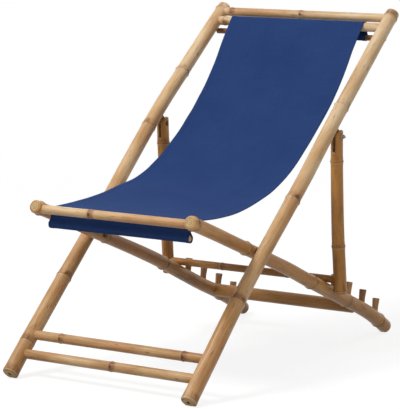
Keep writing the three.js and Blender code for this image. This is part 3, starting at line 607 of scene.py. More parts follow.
# Back frame rails
# Four thinner culms between the back culms, their ends coped and let into them: two near the front
# feet and two at the head, of which the lower one carries the canvas.
COPE_REACH = 0.007
STRAIGHT = ((0, 0), (1, 0))
EVEN = ((0, 1), (1, 1))
FOOT_RAIL_RADIUS = 0.013
HEAD_RAIL_RADIUS = 0.0125
CANVAS_RAIL_RADIUS = 0.013
LOWER_FOOT_STATION = 0.069
UPPER_FOOT_STATION = 0.131
CANVAS_HEAD_STATION = BACK_LENGTH - 0.063
HEAD_STATION = BACK_LENGTH - 0.023
BACK_RAIL_AGE = 0.08


def mean_height(bows, length, station):
    """How far a bowed pair of culms stands off its chord at a station, on average."""
    return length * sum(value_at(bow, station / length) for bow in bows.values()) / 2


def make_rail(name, node_name, matrix, half, station, height, radius, node_shares, seed, tints, body,
              age, scars={}):
    """A straight culm that lies across the frame, its nodes at shares of its half length."""
    across = laid((-half, station, height), -math.pi / 2, "Z")
    shares = [(share + 1) / 2 for share in node_shares]
    make_culm(
        name, node_name, matrix @ across, STRAIGHT, 2 * half, radius, shares, seed, tints, body,
        EVEN, age, scars=scars, pith=None,
    )


for name, node_name, station, radius, shares, scars, seed, tints, slot in (
    ("lower_foot_culm", "lower_foot_rail", LOWER_FOOT_STATION, FOOT_RAIL_RADIUS, (0.048,),
     {0: (0.6, 0.9)}, 3.1, ((0, 0.6), (0.5, 0.58), (1, 0.62)), "warm_bamboo"),
    ("upper_foot_culm", "upper_foot_rail", UPPER_FOOT_STATION, FOOT_RAIL_RADIUS, (-0.677, 0.766),
     {0: (0.7, 0.7), 1: (0.8, 1.0)}, 4.3, ((0, 0.52), (0.5, 0.58), (1, 0.58)), "warm_bamboo"),
    ("canvas_head_culm", "canvas_head_rail", CANVAS_HEAD_STATION, CANVAS_RAIL_RADIUS, (-0.918,),
     {}, 5.7, ((0, 0.36), (0.5, 0.3), (1, 0.32)), "pale_bamboo"),
    ("head_culm", "head_rail", HEAD_STATION, HEAD_RAIL_RADIUS, (-0.907, -0.03),
     {1: (0.7, 0.9)}, 6.2, ((0, 0.22), (0.12, 0.42), (0.5, 0.42), (1, 0.36)), "pale_bamboo"),
):
    make_rail(
        name, node_name, BACK, BACK_SPAN - BACK_RADIUS + COPE_REACH, station,
        mean_height(BACK_BOWS, BACK_LENGTH, station), radius, shares, seed, tints, "main_frame",
        BACK_RAIL_AGE, scars=scars,
    )

# Hinge tongues
# A flat hardwood tongue is let into the rear of each back culm. Its rounded nose carries the bolt
# that the forked prop swings on.
HINGE_PLACE = Vector((0, 0.179053, 0.608072))
HINGE = BACK.inverted() @ HINGE_PLACE
PROP_SPAN = 0.287
TONGUE_THICKNESS = 0.008
TONGUE_HALF_HEIGHT = 0.015
TONGUE_NOSE = 0.0125
TONGUE_ROOT = 0.012
TONGUE_BEVEL = 0.0012
TONGUE_RIM_ANGLE = 1.2
TONGUE_TINT = 0.8
NOSE_STEPS = 20
WOOD_SHIFT = (1.3, -1.9, 0.7)

turned_wood, tree, shader = new_material("turned_wood")
grown = growth(tree, 0.9)
tone = nudge(tree, value_of(tree, "tint"), grown["Streak"], 0.9)
colour = ramp(tree, tone, (
    (0.0, srgb(222, 188, 138)), (0.4, srgb(186, 142, 92)), (0.7, srgb(146, 100, 60)),
    (1.0, srgb(104, 64, 38)),
))
pores = fade(tree, grown["Fibre"], 0.56, 0.68, 0.0, 0.5)
colour = mix_colour(tree, pores, colour, srgb(96, 60, 34))
rough = maths(tree, "MULTIPLY_ADD", grown["Streak"], 0.2, 0.5)
plug(tree, shader, {"Base Color": colour, "Roughness": rough})
relief = maths(tree, "MULTIPLY_ADD", pores, -0.8, grown["Streak"])
raise_surface(tree, shader, relief, 0.35, GRAIN_DEPTH)


def set_wood(build, seed, tint):
    """Gives wood its grain along the piece's own Y axis."""
    grain_layer = build.verts.layers.float_vector.new("grain")
    tint_layer = build.verts.layers.float.new("tint")
    for vertex in build.verts:
        place = zip(vertex.co.xzy, WOOD_SHIFT)
        vertex[grain_layer] = [part + shift * seed for part, shift in place]
        vertex[tint_layer] = tint


def thicken_outline(build, thickness):
    """Fills an outline drawn at one X and raises it along X."""
    bmesh.ops.edgeloop_fill(build, edges=build.edges)
    raised = bmesh.ops.extrude_face_region(build, geom=build.faces[:], use_keep_orig=True)
    moved = [item for item in raised["geom"] if isinstance(item, bmesh.types.BMVert)]
    bmesh.ops.translate(build, verts=moved, vec=(thickness, 0, 0))
    bmesh.ops.recalc_face_normals(build, faces=build.faces)


for word, sign in SIDES:
    share = HINGE.y / BACK_LENGTH
    skin = BACK_LENGTH * value_at(BACK_BOWS[word], share) - BACK_RADIUS * value_at(BACK_TAPER, share)
    root = skin + TONGUE_ROOT
    build = bmesh.new()
    low = build.verts.new((0, HINGE.y - TONGUE_HALF_HEIGHT, root))
    nose_start = build.verts.new((0, HINGE.y - TONGUE_NOSE, HINGE.z))
    arc = bmesh.ops.spin(
        build, geom=[nose_start], cent=(0, HINGE.y, HINGE.z), axis=(1, 0, 0), angle=math.pi,
        steps=NOSE_STEPS,
    )
    nose_end = arc["geom_last"][0]
    high = build.verts.new((0, HINGE.y + TONGUE_HALF_HEIGHT, root))
    for pair in ((low, nose_start), (nose_end, high), (high, low)):
        build.edges.new(pair)
    thicken_outline(build, TONGUE_THICKNESS)
    rims = [edge for edge in build.edges if edge.calc_face_angle(0) > TONGUE_RIM_ANGLE]
    bmesh.ops.bevel(
        build, geom=rims, offset=TONGUE_BEVEL, affect="EDGES", segments=3, profile=0.5, material=-1,
    )
    set_wood(build, 15 + sign, TONGUE_TINT)
    across = Matrix.Translation((sign * PROP_SPAN - TONGUE_THICKNESS / 2, 0, 0))
    build.transform(BACK @ across)
    place_piece(
        build, f"tongue_{word}", (turned_wood,), "main_frame", f"hinge_tongue_{word}",
    )

# Seat culms
# Two shorter culms that cross inside the back ones and turn on the pivot bolts. Their sawn front
# ends show, and a shallow seat is cut for each bolt's washer on the inner side.
SEAT_PLACE = (0, -0.478517, 0.452987)
SEAT_SLOPE = math.radians(-23.22243)
SEAT = laid(SEAT_PLACE, SEAT_SLOPE, "X")
SEAT_LENGTH = 1.116
SEAT_RADIUS = 0.0175
SEAT_SPAN = 0.243
SEAT_BOWS = {
    "left": (
        (0, 0), (0.12, 0.0046), (0.2, 0.0068), (0.28, 0.009), (0.45, 0.013), (0.55, 0.0122),
        (0.66, 0.0126), (0.76, 0.0136), (0.88, 0.0132), (0.95, 0.0078), (1, 0.0008),
    ),
    "right": (
        (0, 0), (0.12, 0.005), (0.2, 0.0072), (0.28, 0.009), (0.42, 0.0136), (0.53, 0.0156),
        (0.6, 0.0145), (0.66, 0.0126), (0.77, 0.0102), (0.86, 0.011), (0.95, 0.007), (1, 0.0008),
    ),
}
SEAT_TAPER = ((0, 1.02), (0.2, 1), (0.35, 1), (0.5, 1.06), (0.8, 1.1), (1, 1.14))
SEAT_SEEDS = {"left": 7.4, "right": 8.9}
SEAT_AGE = 0.85
SEAT_SWELL = 2.0
SEAT_NODES = {
    "left": (0.013, 0.25, 0.577, 0.766, 0.954),
    "right": (0.02, 0.301, 0.572, 0.868, 0.972),
}
SEAT_TINTS = {
    "left": ((0, 0.34), (0.04, 0.48), (0.12, 0.6), (0.4, 0.62), (0.7, 0.66), (1, 0.66)),
    "right": ((0, 0.42), (0.04, 0.56), (0.2, 0.7), (0.6, 0.74), (1, 0.72)),
}
SEAT_SCARS = {
    "left": {0: (1.2, 0.8), 1: (2.2, 0.4), 2: (1.7, 0.6), 4: (1.9, 0.4)},
    "right": {0: (1.9, 1.2), 1: (1.4, 0.6), 2: (1.7, 0.9)},
}
SEAT_END_ROUNDING = 0.0046
PIVOT_STATION = 0.312
WASHER_RADIUS = 0.0074
SPOT_DEPTH = 0.002
SPOT_ROOM = 0.002
DRILL_SIDES = 32


def drill_across(radius, start, end, station):
    """A drill's shape along X, in the place of a culm that lies along Y."""
    build = bmesh.new()
    bmesh.ops.create_cone(
        build, cap_ends=True, segments=DRILL_SIDES, radius1=radius, radius2=radius,
        depth=abs(end - start), matrix=laid(((start + end) / 2, station, 0), math.pi / 2, "Y"),
    )
    return build


for word, sign in SIDES:
    spot = drill_across(
        WASHER_RADIUS + SPOT_ROOM, -sign * 2 * SEAT_RADIUS, -sign * (SEAT_RADIUS - SPOT_DEPTH),
        PIVOT_STATION,
    )
    make_culm(
        f"seat_culm_{word}", f"seat_pole_{word}", SEAT @ Matrix.Translation((sign * SEAT_SPAN, 0, 0)),
        SEAT_BOWS[word], SEAT_LENGTH, SEAT_RADIUS, SEAT_NODES[word], SEAT_SEEDS[word],
        SEAT_TINTS[word], "seat_frame", SEAT_TAPER, SEAT_AGE,
        scars=SEAT_SCARS[word], pith=CLOSED_PITH, rounding=SEAT_END_ROUNDING, swell=SEAT_SWELL,
        cutters=(spot,),
    )

# Seat frame rails
# Two thin culms at the front, the rear one under the canvas, and one thick culm near the rear feet,
# all coped between the seat culms.
FRONT_STATION = 0.018
CANVAS_FRONT_STATION = 0.0565
REAR_STATION = SEAT_LENGTH - 0.189
FRONT_DROP = 0.0025
REAR_DROP = 0.0015
FRONT_RAIL_RADIUS = 0.012
REAR_RAIL_RADIUS = 0.0182

for name, node_name, station, drop, radius, shares, scars, seed, tints, slot, age in (
    ("front_culm", "front_rail", FRONT_STATION, FRONT_DROP, FRONT_RAIL_RADIUS, (-0.323,),
     {0: (1.9, 1.1)}, 9.3, ((0, 0.5), (0.06, 0.3), (0.5, 0.26), (1, 0.32)), "pale_bamboo", BACK_AGE),
    ("canvas_front_culm", "canvas_front_rail", CANVAS_FRONT_STATION, 0, CANVAS_RAIL_RADIUS, (), {},
     10.6, ((0, 0.36), (1, 0.36)), "pale_bamboo", BACK_AGE),
    ("rear_culm", "rear_rail", REAR_STATION, REAR_DROP, REAR_RAIL_RADIUS, (), {}, 11.8,
     ((0, 0.54), (0.5, 0.58), (1, 0.6)), "dark_bamboo", SEAT_AGE),
):
    make_rail(
        name, node_name, SEAT, SEAT_SPAN - SEAT_RADIUS + COPE_REACH, station,
        mean_height(SEAT_BOWS, SEAT_LENGTH, station) - drop, radius, shares, seed, tints,
        "seat_frame", age, scars=scars,
    )

# Stop pegs
# Four turned hardwood pegs are glued into each seat culm, a little forward of square to it. The
# prop bar rests against one pair; their tops are chamfered and worn.
PEG_STATIONS = (0.773, 0.860, 0.947, 1.034)
PEG_RADIUS = 0.0088
PEG_HEIGHT = 0.034
PEG_SEAT = 0.019
PEG_FLARE = 0.0014
PEG_CHAMFER = 0.0014
PEG_LEAN = math.radians(12)
PEG_SIDES = 28
PEG_WOBBLE = 0.02
WOBBLE_ROUND = 90
WOBBLE_ALONG = 60
CRISP_ANGLE = 0.6
PEG_TINTS = {"left": (0.5, 0.42, 0.74, 0.4), "right": (0.66, 0.62, 0.7, 0.58)}
PEG_TOP = PEG_RADIUS + PEG_FLARE
PEG_ROWS = (
    (-PEG_SEAT, 0), (-PEG_SEAT, PEG_RADIUS - PEG_CHAMFER), (-PEG_SEAT + PEG_CHAMFER, PEG_RADIUS),
    (0, PEG_RADIUS), (0.25 * PEG_HEIGHT, 0.99 * PEG_RADIUS),
    (0.5 * PEG_HEIGHT, PEG_RADIUS + 0.35 * PEG_FLARE),
    (0.75 * PEG_HEIGHT, PEG_RADIUS + 0.75 * PEG_FLARE), (PEG_HEIGHT - 1.6 * PEG_CHAMFER, PEG_TOP),
    (PEG_HEIGHT - 0.9 * PEG_CHAMFER, PEG_TOP - 0.16 * PEG_CHAMFER),
    (PEG_HEIGHT - 0.35 * PEG_CHAMFER, PEG_TOP - 0.55 * PEG_CHAMFER),
    (PEG_HEIGHT, PEG_TOP - 1.3 * PEG_CHAMFER), (PEG_HEIGHT, 0.4 * PEG_TOP), (PEG_HEIGHT, 0),
)


def smooth_round(build):
    """Shades the turned sides smooth and keeps their sharp rims and the flat ends crisp."""
    for face in build.faces:
        face.smooth = True
    for edge in build.edges:
        edge.smooth = edge.calc_face_angle(0) < CRISP_ANGLE


for word, sign in SIDES:
    for index, station in enumerate(PEG_STATIONS):
        build = turned(PEG_ROWS, PEG_SIDES)
        smooth_round(build)
        set_wood(build, 20 + index + 5 * sign, PEG_TINTS[word][index])
        for vertex in build.verts:
            x, y, z = vertex.co
            along = WOBBLE_ALONG * y + 4 * index + sign
            wave = noise.noise(Vector((WOBBLE_ROUND * x, along, WOBBLE_ROUND * z)))
            vertex.co.x *= 1 + PEG_WOBBLE * wave
            vertex.co.z *= 1 + PEG_WOBBLE * wave
        share = station / SEAT_LENGTH
        skin = SEAT_LENGTH * value_at(SEAT_BOWS[word], share)
        skin += SEAT_RADIUS * value_at(SEAT_TAPER, share)
        foot = Vector((sign * SEAT_SPAN, station, skin))
        upright = Matrix.Rotation(math.pi / 2 + PEG_LEAN, 4, "X")
        build.transform(SEAT @ Matrix.Translation(foot) @ upright)
        place_piece(
            build, f"peg_{word}_{index + 1}", (turned_wood,), "seat_frame",
            f"stop_peg_{word}_{index + 1}",
        )

# Prop frame
# Two short darker culms hang behind the back culms from their forked tops, and a thin bar between
# them stands on the seat culms in front of the first pegs. The forks are sawn and drilled.
PROP_PLACE = (0, 0.209498, 0.170418)
PROP_SLOPE = math.radians(93.97921)
PROP = laid(PROP_PLACE, PROP_SLOPE, "X")
PROP_LENGTH = 0.455711
PROP_RADIUS = 0.017
PROP_HINGE_STATION = PROP_LENGTH - 0.017
BAR_STATION = 0.0365
BAR_RADIUS = 0.0105
FORK_DEPTH = 0.058
FIT_GAP = 0.0003
HEEL_STEPS = 16
PROP_BOWS = {
    "left": (
        (0, 0.007), (0.15, 0.0125), (0.35, 0.0195), (0.5, 0.02), (0.7, 0.0165), (0.88, 0.0105),
        (1, 0.003),
    ),
    "right": ((0, 0), (0.3, 0.003), (0.6, 0.004), (1, 0)),
}
PROP_TAPERS = {
    "left": ((0, 1.09), (0.4, 1.045), (0.85, 1), (1, 1)),
    "right": ((0, 0.97), (0.5, 1), (1, 1)),
}
PROP_SEEDS = {"left": 12.5, "right": 13.7}
PROP_AGE = 1.0
PROP_NODES = {"left": (0.024, 0.296, 0.815), "right": (0.03, 0.42, 0.84)}
PROP_TINTS = {
    "left": ((0, 0.76), (0.1, 0.8), (0.5, 0.76), (0.8, 0.68), (0.84, 0.6), (1, 0.62)),
    "right": ((0, 0.84), (0.5, 0.84), (1, 0.8)),
}
PROP_SCARS = {"left": {1: (0.5, 1.0)}, "right": {1: (0.6, 0.7)}}
SPOT_PLAY = 0.001


def saw_slot(half_width, start, end, reach):
    """A saw's shape in the middle of a culm that lies along Y."""
    build = bmesh.new()
    bmesh.ops.create_cube(build, size=1)
    size = Matrix.Diagonal((2 * half_width, end - start, reach, 1))
    build.transform(Matrix.Translation((0, (start + end) / 2, 0)) @ size)
    return build


def heel_waste(radius, station, reach):
    """What is filed off the corner of a fork, so that it turns past the back culm."""
    build = bmesh.new()
    first = build.verts.new((-reach, station, radius))
    arc = bmesh.ops.spin(
        build, geom=[first], cent=(0, station, 0), axis=(-1, 0, 0), angle=math.pi / 2,
        steps=HEEL_STEPS,
    )
    last = arc["geom_last"][0]
    corners = [
        build.verts.new((-reach, station + along * reach, up * reach))
        for along, up in ((1, 0), (1, 1), (0, 1))
    ]
    for pair in zip((last, *corners), (*corners, first)):
        build.edges.new(pair)
    thicken_outline(build, 2 * reach)
    return build


for word, sign in SIDES:
    slot_half = TONGUE_THICKNESS / 2 + FIT_GAP
    fork_start = PROP_LENGTH - FORK_DEPTH
    cutters = [saw_slot(slot_half, fork_start, PROP_LENGTH + PROP_RADIUS, 4 * PROP_RADIUS)]
    for way in (-1, 1):
        cutters.append(drill_across(
            WASHER_RADIUS + SPOT_PLAY, way * (PROP_RADIUS - SPOT_DEPTH), way * 2 * PROP_RADIUS,
            PROP_HINGE_STATION,
        ))
    cutters.append(heel_waste(PROP_RADIUS, PROP_HINGE_STATION, 2 * PROP_RADIUS))
    make_culm(
        f"prop_culm_{word}", f"prop_pole_{word}", PROP @ Matrix.Translation((sign * PROP_SPAN, 0, 0)),
        PROP_BOWS[word], PROP_LENGTH, PROP_RADIUS, PROP_NODES[word], PROP_SEEDS[word],
        PROP_TINTS[word], "prop_frame", PROP_TAPERS[word], PROP_AGE,
        scars=PROP_SCARS[word], cutters=cutters,
    )
make_rail(
    "prop_bar_culm", "prop_bar", PROP, PROP_SPAN - PROP_RADIUS + COPE_REACH, BAR_STATION, 0,
    BAR_RADIUS, (-0.36, 0.42), 14.2, ((0, 0.76), (0.5, 0.8), (1, 0.78)), "prop_frame",
    PROP_AGE, scars={0: (-0.2, 0.6), 1: (-0.3, 0.5)},
)

# Canvas
# One length of heavy navy cotton canvas with turned side hems. Each end is folded back and sewn to
# a sleeve round its dowel; the cloth goes over the two canvas rails and hangs between them.
HALF_WIDTH = 0.220
CLOTH = 0.0011
FRONT_DOWEL_CENTRE = Vector((-0.439943, 0.403557))
HEAD_DOWEL_CENTRE = Vector((0.455076, 0.856745))
FRONT_DOWEL_RADIUS = 0.0095
HEAD_DOWEL_RADIUS = 0.008
WRAP_RADIUS = CANVAS_RAIL_RADIUS + 0.00127
FRONT_LEAVE = math.radians(-4)
HEAD_ARRIVE = math.radians(49.2)
LEFT_SAG = (
    (0, 0), (0.083, 0.051), (0.18, 0.100), (0.258, 0.127), (0.368, 0.153), (0.474, 0.157),
    (0.56, 0.146), (0.642, 0.131), (0.72, 0.114), (0.79, 0.091), (0.855, 0.064), (0.916, 0.034),
    (1, 0),
)
RIGHT_SAG = (
    (0, 0), (0.083, 0.041), (0.18, 0.084), (0.258, 0.112), (0.368, 0.149), (0.474, 0.158),
    (0.56, 0.153), (0.642, 0.141), (0.72, 0.122), (0.79, 0.100), (0.855, 0.073), (0.916, 0.040),
    (1, 0),
)
MIDDLE_SAG = 0.005
PATH_PITCH = 0.006
ARC_SHARE = 0.45
ARC_LEAST = 3
HEM_WIDTH = 0.012
HEM_STEP = 0.0006
SELVEDGE = 0.0012
COLUMNS = 48
THREAD = 0.0011
WEAVE_DEPTH = 0.0003
STITCH = 0.0042
SEAM_INSET = 0.0025
SEAM_HALF = 0.0003
SEAM_FADE = 0.0008
SLEEVE_JOIN = 0.0155
SLEEVE_FLAP = 0.006
SLEEVE_EASE = 0.0007
FLAP_LIFT = 1.15 * CLOTH
JOIN_LIFT = 0.75 * CLOTH
RIPPLE = 0.0016
EDGE_DRIFT = 0.001


def sag_at(share, across):
    """The hang under the chord, as a share of its length; across is 1 at the left hem."""
    left = value_at(LEFT_SAG, share)
    right = value_at(RIGHT_SAG, share)
    middle = MIDDLE_SAG * math.sin(math.pi * share) * (1 - across * across)
    return (left * (1 + across) + right * (1 - across)) / 2 + middle


def around(centre, radius, start, end):
    """Points on an arc in the side view, from one angle to another."""
    count = max(ARC_LEAST, round(abs(end - start) * radius / (ARC_SHARE * PATH_PITCH)))
    turns = [start + (end - start) * i / count for i in range(count + 1)]
    return [centre + radius * Vector((math.cos(turn), math.sin(turn))) for turn in turns]


def sleeve(join, centre, radius, way):
    """The flap and loop of a sleeve, from the flap's end to where it meets the strand again."""
    rise = (join - centre).normalized()
    side = Vector((-rise.y, rise.x)) * way
    rise_angle = math.atan2(rise.y, rise.x)
    spread = math.acos(radius / (join - centre).length)
    flap = [join + rise * SLEEVE_FLAP * share + side * FLAP_LIFT for share in (1.0, 0.5)]
    start = rise_angle + way * spread
    end = rise_angle + way * (2 * math.pi - spread)
    return [*flap, join + side * JOIN_LIFT, *around(centre, radius, start, end)]


front_rail_height = mean_height(SEAT_BOWS, SEAT_LENGTH, CANVAS_FRONT_STATION)
front_rail_centre = (SEAT @ Vector((0, CANVAS_FRONT_STATION, front_rail_height))).yz
head_rail_height = mean_height(BACK_BOWS, BACK_LENGTH, CANVAS_HEAD_STATION)
head_rail_centre = (BACK @ Vector((0, CANVAS_HEAD_STATION, head_rail_height))).yz
front_join = FRONT_DOWEL_CENTRE + Vector((0, SLEEVE_JOIN))
front_loop = sleeve(front_join, FRONT_DOWEL_CENTRE, FRONT_DOWEL_RADIUS + SLEEVE_EASE, -1)
front_wrap = around(front_rail_centre, WRAP_RADIUS, math.pi, math.pi / 2 + FRONT_LEAVE)
span_start = front_wrap[-1]
to_dowel = HEAD_DOWEL_CENTRE - head_rail_centre
head_leave = math.atan2(to_dowel.y, to_dowel.x) + math.acos(WRAP_RADIUS / to_dowel.length)
head_wrap = around(head_rail_centre, WRAP_RADIUS, math.pi / 2 + HEAD_ARRIVE, head_leave)
span_end = head_wrap[0]
span_length = (span_end - span_start).length
span_along = (span_end - span_start).normalized()
span_up = Vector((-span_along.y, span_along.x))
head_way = (HEAD_DOWEL_CENTRE - head_wrap[-1]).normalized()
head_join = HEAD_DOWEL_CENTRE - head_way * SLEEVE_JOIN
head_loop = sleeve(head_join, HEAD_DOWEL_CENTRE, HEAD_DOWEL_RADIUS + SLEEVE_EASE, 1)
span_count = round(span_length / PATH_PITCH)
span = [
    span_start + span_along * span_length * i / span_count
    - span_up * span_length * sag_at(i / span_count, 0)
    for i in range(1, span_count)
]
path = [*front_loop, front_join, *front_wrap, *span, *head_wrap, head_join, *reversed(head_loop)]

navy_canvas, tree, shader = new_material("navy_canvas")
flat = add(tree, "UVMap", uv_map="cloth").outputs[0]
parts = add(tree, "SeparateXYZ", {"Vector": flat}).outputs
turns = [times(tree, parts[key], math.pi / THREAD) for key in ("X", "Y")]
sines = [maths(tree, "SINE", turn) for turn in turns]
over = fade(tree, times(tree, sines[0], sines[1]), -0.6, 0.6, 0.0, 1.0)
warp = times(tree, maths(tree, "ABSOLUTE", sines[0]), over)
weft = times(tree, maths(tree, "ABSOLUTE", sines[1]), maths(tree, "SUBTRACT", 1.0, over))
weave = maths(tree, "ADD", warp, weft)
slubs = []
for squeeze in ((1, 0.02, 1), (0.02, 1, 1)):
    drawn = add(tree, "Mapping", {"Vector": flat, "Scale": squeeze}).outputs[0]
    slubs.append(add(tree, "TexNoise", {"Vector": drawn, "Scale": 700.0, "Detail": 3.0}).outputs["Fac"])
slub = times(tree, maths(tree, "ADD", slubs[0], slubs[1]), 0.5)
worn = add(tree, "TexNoise", {"Vector": flat, "Scale": 5.5, "Detail": 4.0}).outputs["Fac"]
tone = nudge(tree, 0.42, slub, 0.7)
tone = nudge(tree, tone, worn, 0.3)
tone = nudge(tree, tone, weave, 0.14)
colour = ramp(tree, tone, (
    (0.0, srgb(21, 41, 83)), (0.4, srgb(32, 59, 111)), (0.7, srgb(44, 73, 127)),
    (1.0, srgb(68, 98, 150)),
))
to_edge = maths(tree, "SUBTRACT", HALF_WIDTH, maths(tree, "ABSOLUTE", parts["X"]))
seam = near(tree, to_edge, HEM_WIDTH - SEAM_INSET, SEAM_HALF, SEAM_FADE, 1.0)
dash = maths(tree, "SINE", times(tree, parts["Y"], 2 * math.pi / STITCH))
stitch = times(tree, seam, fade(tree, dash, -0.35, 0.0, 0.0, 1.0))
colour = mix_colour(tree, times(tree, seam, 0.5), colour, srgb(16, 26, 64))
colour = mix_colour(tree, times(tree, stitch, 0.8), colour, srgb(58, 80, 138))
plug(tree, shader, {
    "Base Color": colour, "Roughness": 0.92, "Specular IOR Level": 0.2, "Sheen Weight": 0.04,
    "Sheen Roughness": 0.5, "Sheen Tint": srgb(120, 140, 190),
})
relief = maths(tree, "MULTIPLY_ADD", slub, 1.6, weave)
relief = maths(tree, "MULTIPLY_ADD", seam, -1.2, relief)
relief = maths(tree, "MULTIPLY_ADD", stitch, 2.4, relief)
raise_surface(tree, shader, relief, 0.4, WEAVE_DEPTH)

path_lengths = [0.0]
for before, after in zip(path, path[1:]):
    path_lengths.append(path_lengths[-1] + (after - before).length)
columns = {-HALF_WIDTH + 2 * HALF_WIDTH * i / COLUMNS for i in range(COLUMNS + 1)}
for inset in (SELVEDGE, HEM_WIDTH - HEM_STEP, HEM_WIDTH + HEM_STEP):
    columns |= {HALF_WIDTH - inset, inset - HALF_WIDTH}
columns = sorted(columns)

build = bmesh.new()
run_layer = build.verts.layers.float.new("run")
line = []
for point, run in zip(path, path_lengths):
    vertex = build.verts.new((columns[0], point.x, point.y))
    vertex[run_layer] = run
    line.append(vertex)
edges = [build.edges.new(pair) for pair in zip(line, line[1:])]
for before, after in zip(columns, columns[1:]):
    woven = bmesh.ops.extrude_edge_only(build, edges=edges)["geom"]
    moved = {item for item in woven if isinstance(item, bmesh.types.BMVert)}
    edges = [
        item for item in woven
        if isinstance(item, bmesh.types.BMEdge) and all(end in moved for end in item.verts)
    ]
    bmesh.ops.translate(build, verts=list(moved), vec=(after - before, 0, 0))
cloth_uv = build.loops.layers.uv.new("cloth")
for face in build.faces:
    face.smooth = True
    for loop in face.loops:
        loop[cloth_uv].uv = (loop.vert.co.x, loop.vert[run_layer])
hem_layer = build.verts.layers.deform.verify()
for vertex in build.verts:
    across = vertex.co.x / HALF_WIDTH
    in_hem = HALF_WIDTH - abs(vertex.co.x) < HEM_WIDTH
    vertex[hem_layer][0] = 1.0 if in_hem else 0.5
    point = Vector((vertex.co.y, vertex.co.z))
    share = (point - span_start).dot(span_along) / span_length
    if 0 < share < 1:
        run = vertex[run_layer]
        free = math.sin(math.pi * share)
        ripple = noise.noise(Vector((5 * vertex.co.x, 7 * run, 0.3)))
        edge_wave = noise.noise(Vector((2.0 * (across > 0), 16 * run, 4.1)))
        lift = span_length * (sag_at(share, 0) - sag_at(share, across))
        lift += RIPPLE * free * (ripple + edge_wave * abs(across) ** 12)
        vertex.co.y += span_up.x * lift
        vertex.co.z += span_up.y * lift
        vertex.co.x += EDGE_DRIFT * free * edge_wave * math.copysign(abs(across) ** 6, across)
bmesh.ops.recalc_face_normals(build, faces=build.faces)
blank = from_build(build, "canvas_blank", (navy_canvas,))
blank.vertex_groups.new(name="hem")
thicken = blank.modifiers.new("thickness", "SOLIDIFY")
thicken.thickness = 2 * CLOTH
thicken.offset = 0
thicken.vertex_group = "hem"
canvas_mesh = finished_mesh(blank)
canvas_mesh.name = "canvas_cloth"
bpy.data.objects.remove(blank)
canvas_cloth = put_in_scene("canvas_cloth", canvas_mesh)
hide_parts("canvas")
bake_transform(canvas_cloth)

# Canvas dowels
# A plain turned rod in each sleeve keeps the cloth from slipping between the rails. The head rod
# reaches under both back culms, the front one ends just inside the sleeve.
DOWEL_SIDES = 32
DOWEL_STEPS = 6
FRONT_DOWEL_HALF = HALF_WIDTH - 0.0016
HEAD_DOWEL_HALF = BACK_SPAN - 0.001
FRONT_DOWEL_CHAMFER = 0.003
HEAD_DOWEL_CHAMFER = 0.001

for name, node_name, centre, radius, half, edge, body, tint in (
    ("front_rod", "front_dowel", FRONT_DOWEL_CENTRE, FRONT_DOWEL_RADIUS, FRONT_DOWEL_HALF,
     FRONT_DOWEL_CHAMFER, "seat_frame", -0.1),
    ("head_rod", "head_dowel", HEAD_DOWEL_CENTRE, HEAD_DOWEL_RADIUS, HEAD_DOWEL_HALF,
     HEAD_DOWEL_CHAMFER, "main_frame", 0.75),
):
    low = [(-half, 0), (-half, radius / 2), (-half, radius - edge), (-half + edge, radius)]
    middle = [(half * i / DOWEL_STEPS, radius) for i in range(1 - DOWEL_STEPS, DOWEL_STEPS)]
    high = [(-station, size) for station, size in reversed(low)]
    build = turned([*low, *middle, *high], DOWEL_SIDES)
    smooth_round(build)
    set_wood(build, 30 + tint, tint)
    build.transform(laid((0, centre.x, centre.y), -math.pi / 2, "Z"))
    place_piece(build, name, (turned_wood,), body, node_name)

# Bolts, washers, nuts, spacers and inserts
# Zinc-plated steel. The pivots' parts and the far hinge's are coloured dark brown instead: painted
# shade, standing in for the shade in the pivots' recessed seats and on the far side. Each pivot bolt
# goes through a seat culm and a spacer into a threaded insert in the back culm. Each hinge bolt goes
# through a fork and its tongue and shows a nut outside.
PIVOT_CENTRE = Vector((0, -0.187839, 0.339184))
BOLT_RADIUS = 0.003
BOLT_HEAD_RADIUS = 0.0062
BOLT_HEAD_HEIGHT = 0.0034
BOLT_SHOW = 0.0036
WASHER_THICKNESS = 0.0013
SPACER_RADIUS = 0.009
INSERT_RADIUS = 0.0056
INSERT_LENGTH = 0.018
NUT_RADIUS = 0.0056
NUT_THICKNESS = 0.0048
FASTENER_SIDES = 48
NUT_FLATS = 6
METAL_EDGE = 0.0003
MARK_DEPTH = 0.0002
BORE = BOLT_RADIUS + FIT_GAP
DOME_TURNS = (0.0, 0.3, 0.6, 0.9, 1.2)

zinc_steel, tree, shader = new_material("zinc_steel")
place = add(tree, "TexCoord").outputs["Object"]
bloom = add(tree, "TexNoise", {"Vector": place, "Scale": 260.0, "Detail": 3.0}).outputs["Fac"]
drawn = add(tree, "Mapping", {"Vector": place, "Scale": (6, 1, 1)}).outputs[0]
marks = add(tree, "TexNoise", {"Vector": drawn, "Scale": 900.0, "Detail": 2.0}).outputs["Fac"]
colour = ramp(tree, bloom, ((0.3, srgb(150, 150, 148)), (0.7, srgb(186, 186, 182))))
rough = maths(tree, "MULTIPLY_ADD", bloom, 0.35, 0.22)
plug(tree, shader, {"Base Color": colour, "Metallic": 1.0, "Roughness": rough})
raise_surface(tree, shader, marks, 0.25, MARK_DEPTH)

# Painted shade: a dark brown steel that stands in for the shade in the pivots' recessed seats and on
# the far hinge; the real parts are zinc-plated like the near hinge's.
shade_painted_steel, tree, shader = new_material("shade_painted_steel")
place = add(tree, "TexCoord").outputs["Object"]
bloom = add(tree, "TexNoise", {"Vector": place, "Scale": 410.0, "Detail": 4.0}).outputs["Fac"]
colour = ramp(tree, bloom, ((0.35, srgb(62, 44, 32)), (0.65, srgb(104, 78, 56))))
rough = maths(tree, "MULTIPLY_ADD", bloom, 0.3, 0.42)
plug(tree, shader, {"Base Color": colour, "Metallic": 0.6, "Roughness": rough})
raise_surface(tree, shader, bloom, 0.3, MARK_DEPTH)

# The near hinge keeps its zinc finish; the far hinge's parts get the dark painted shade steel.
HINGE_FINISH_AND_SHADE = {"left": zinc_steel, "right": shade_painted_steel}


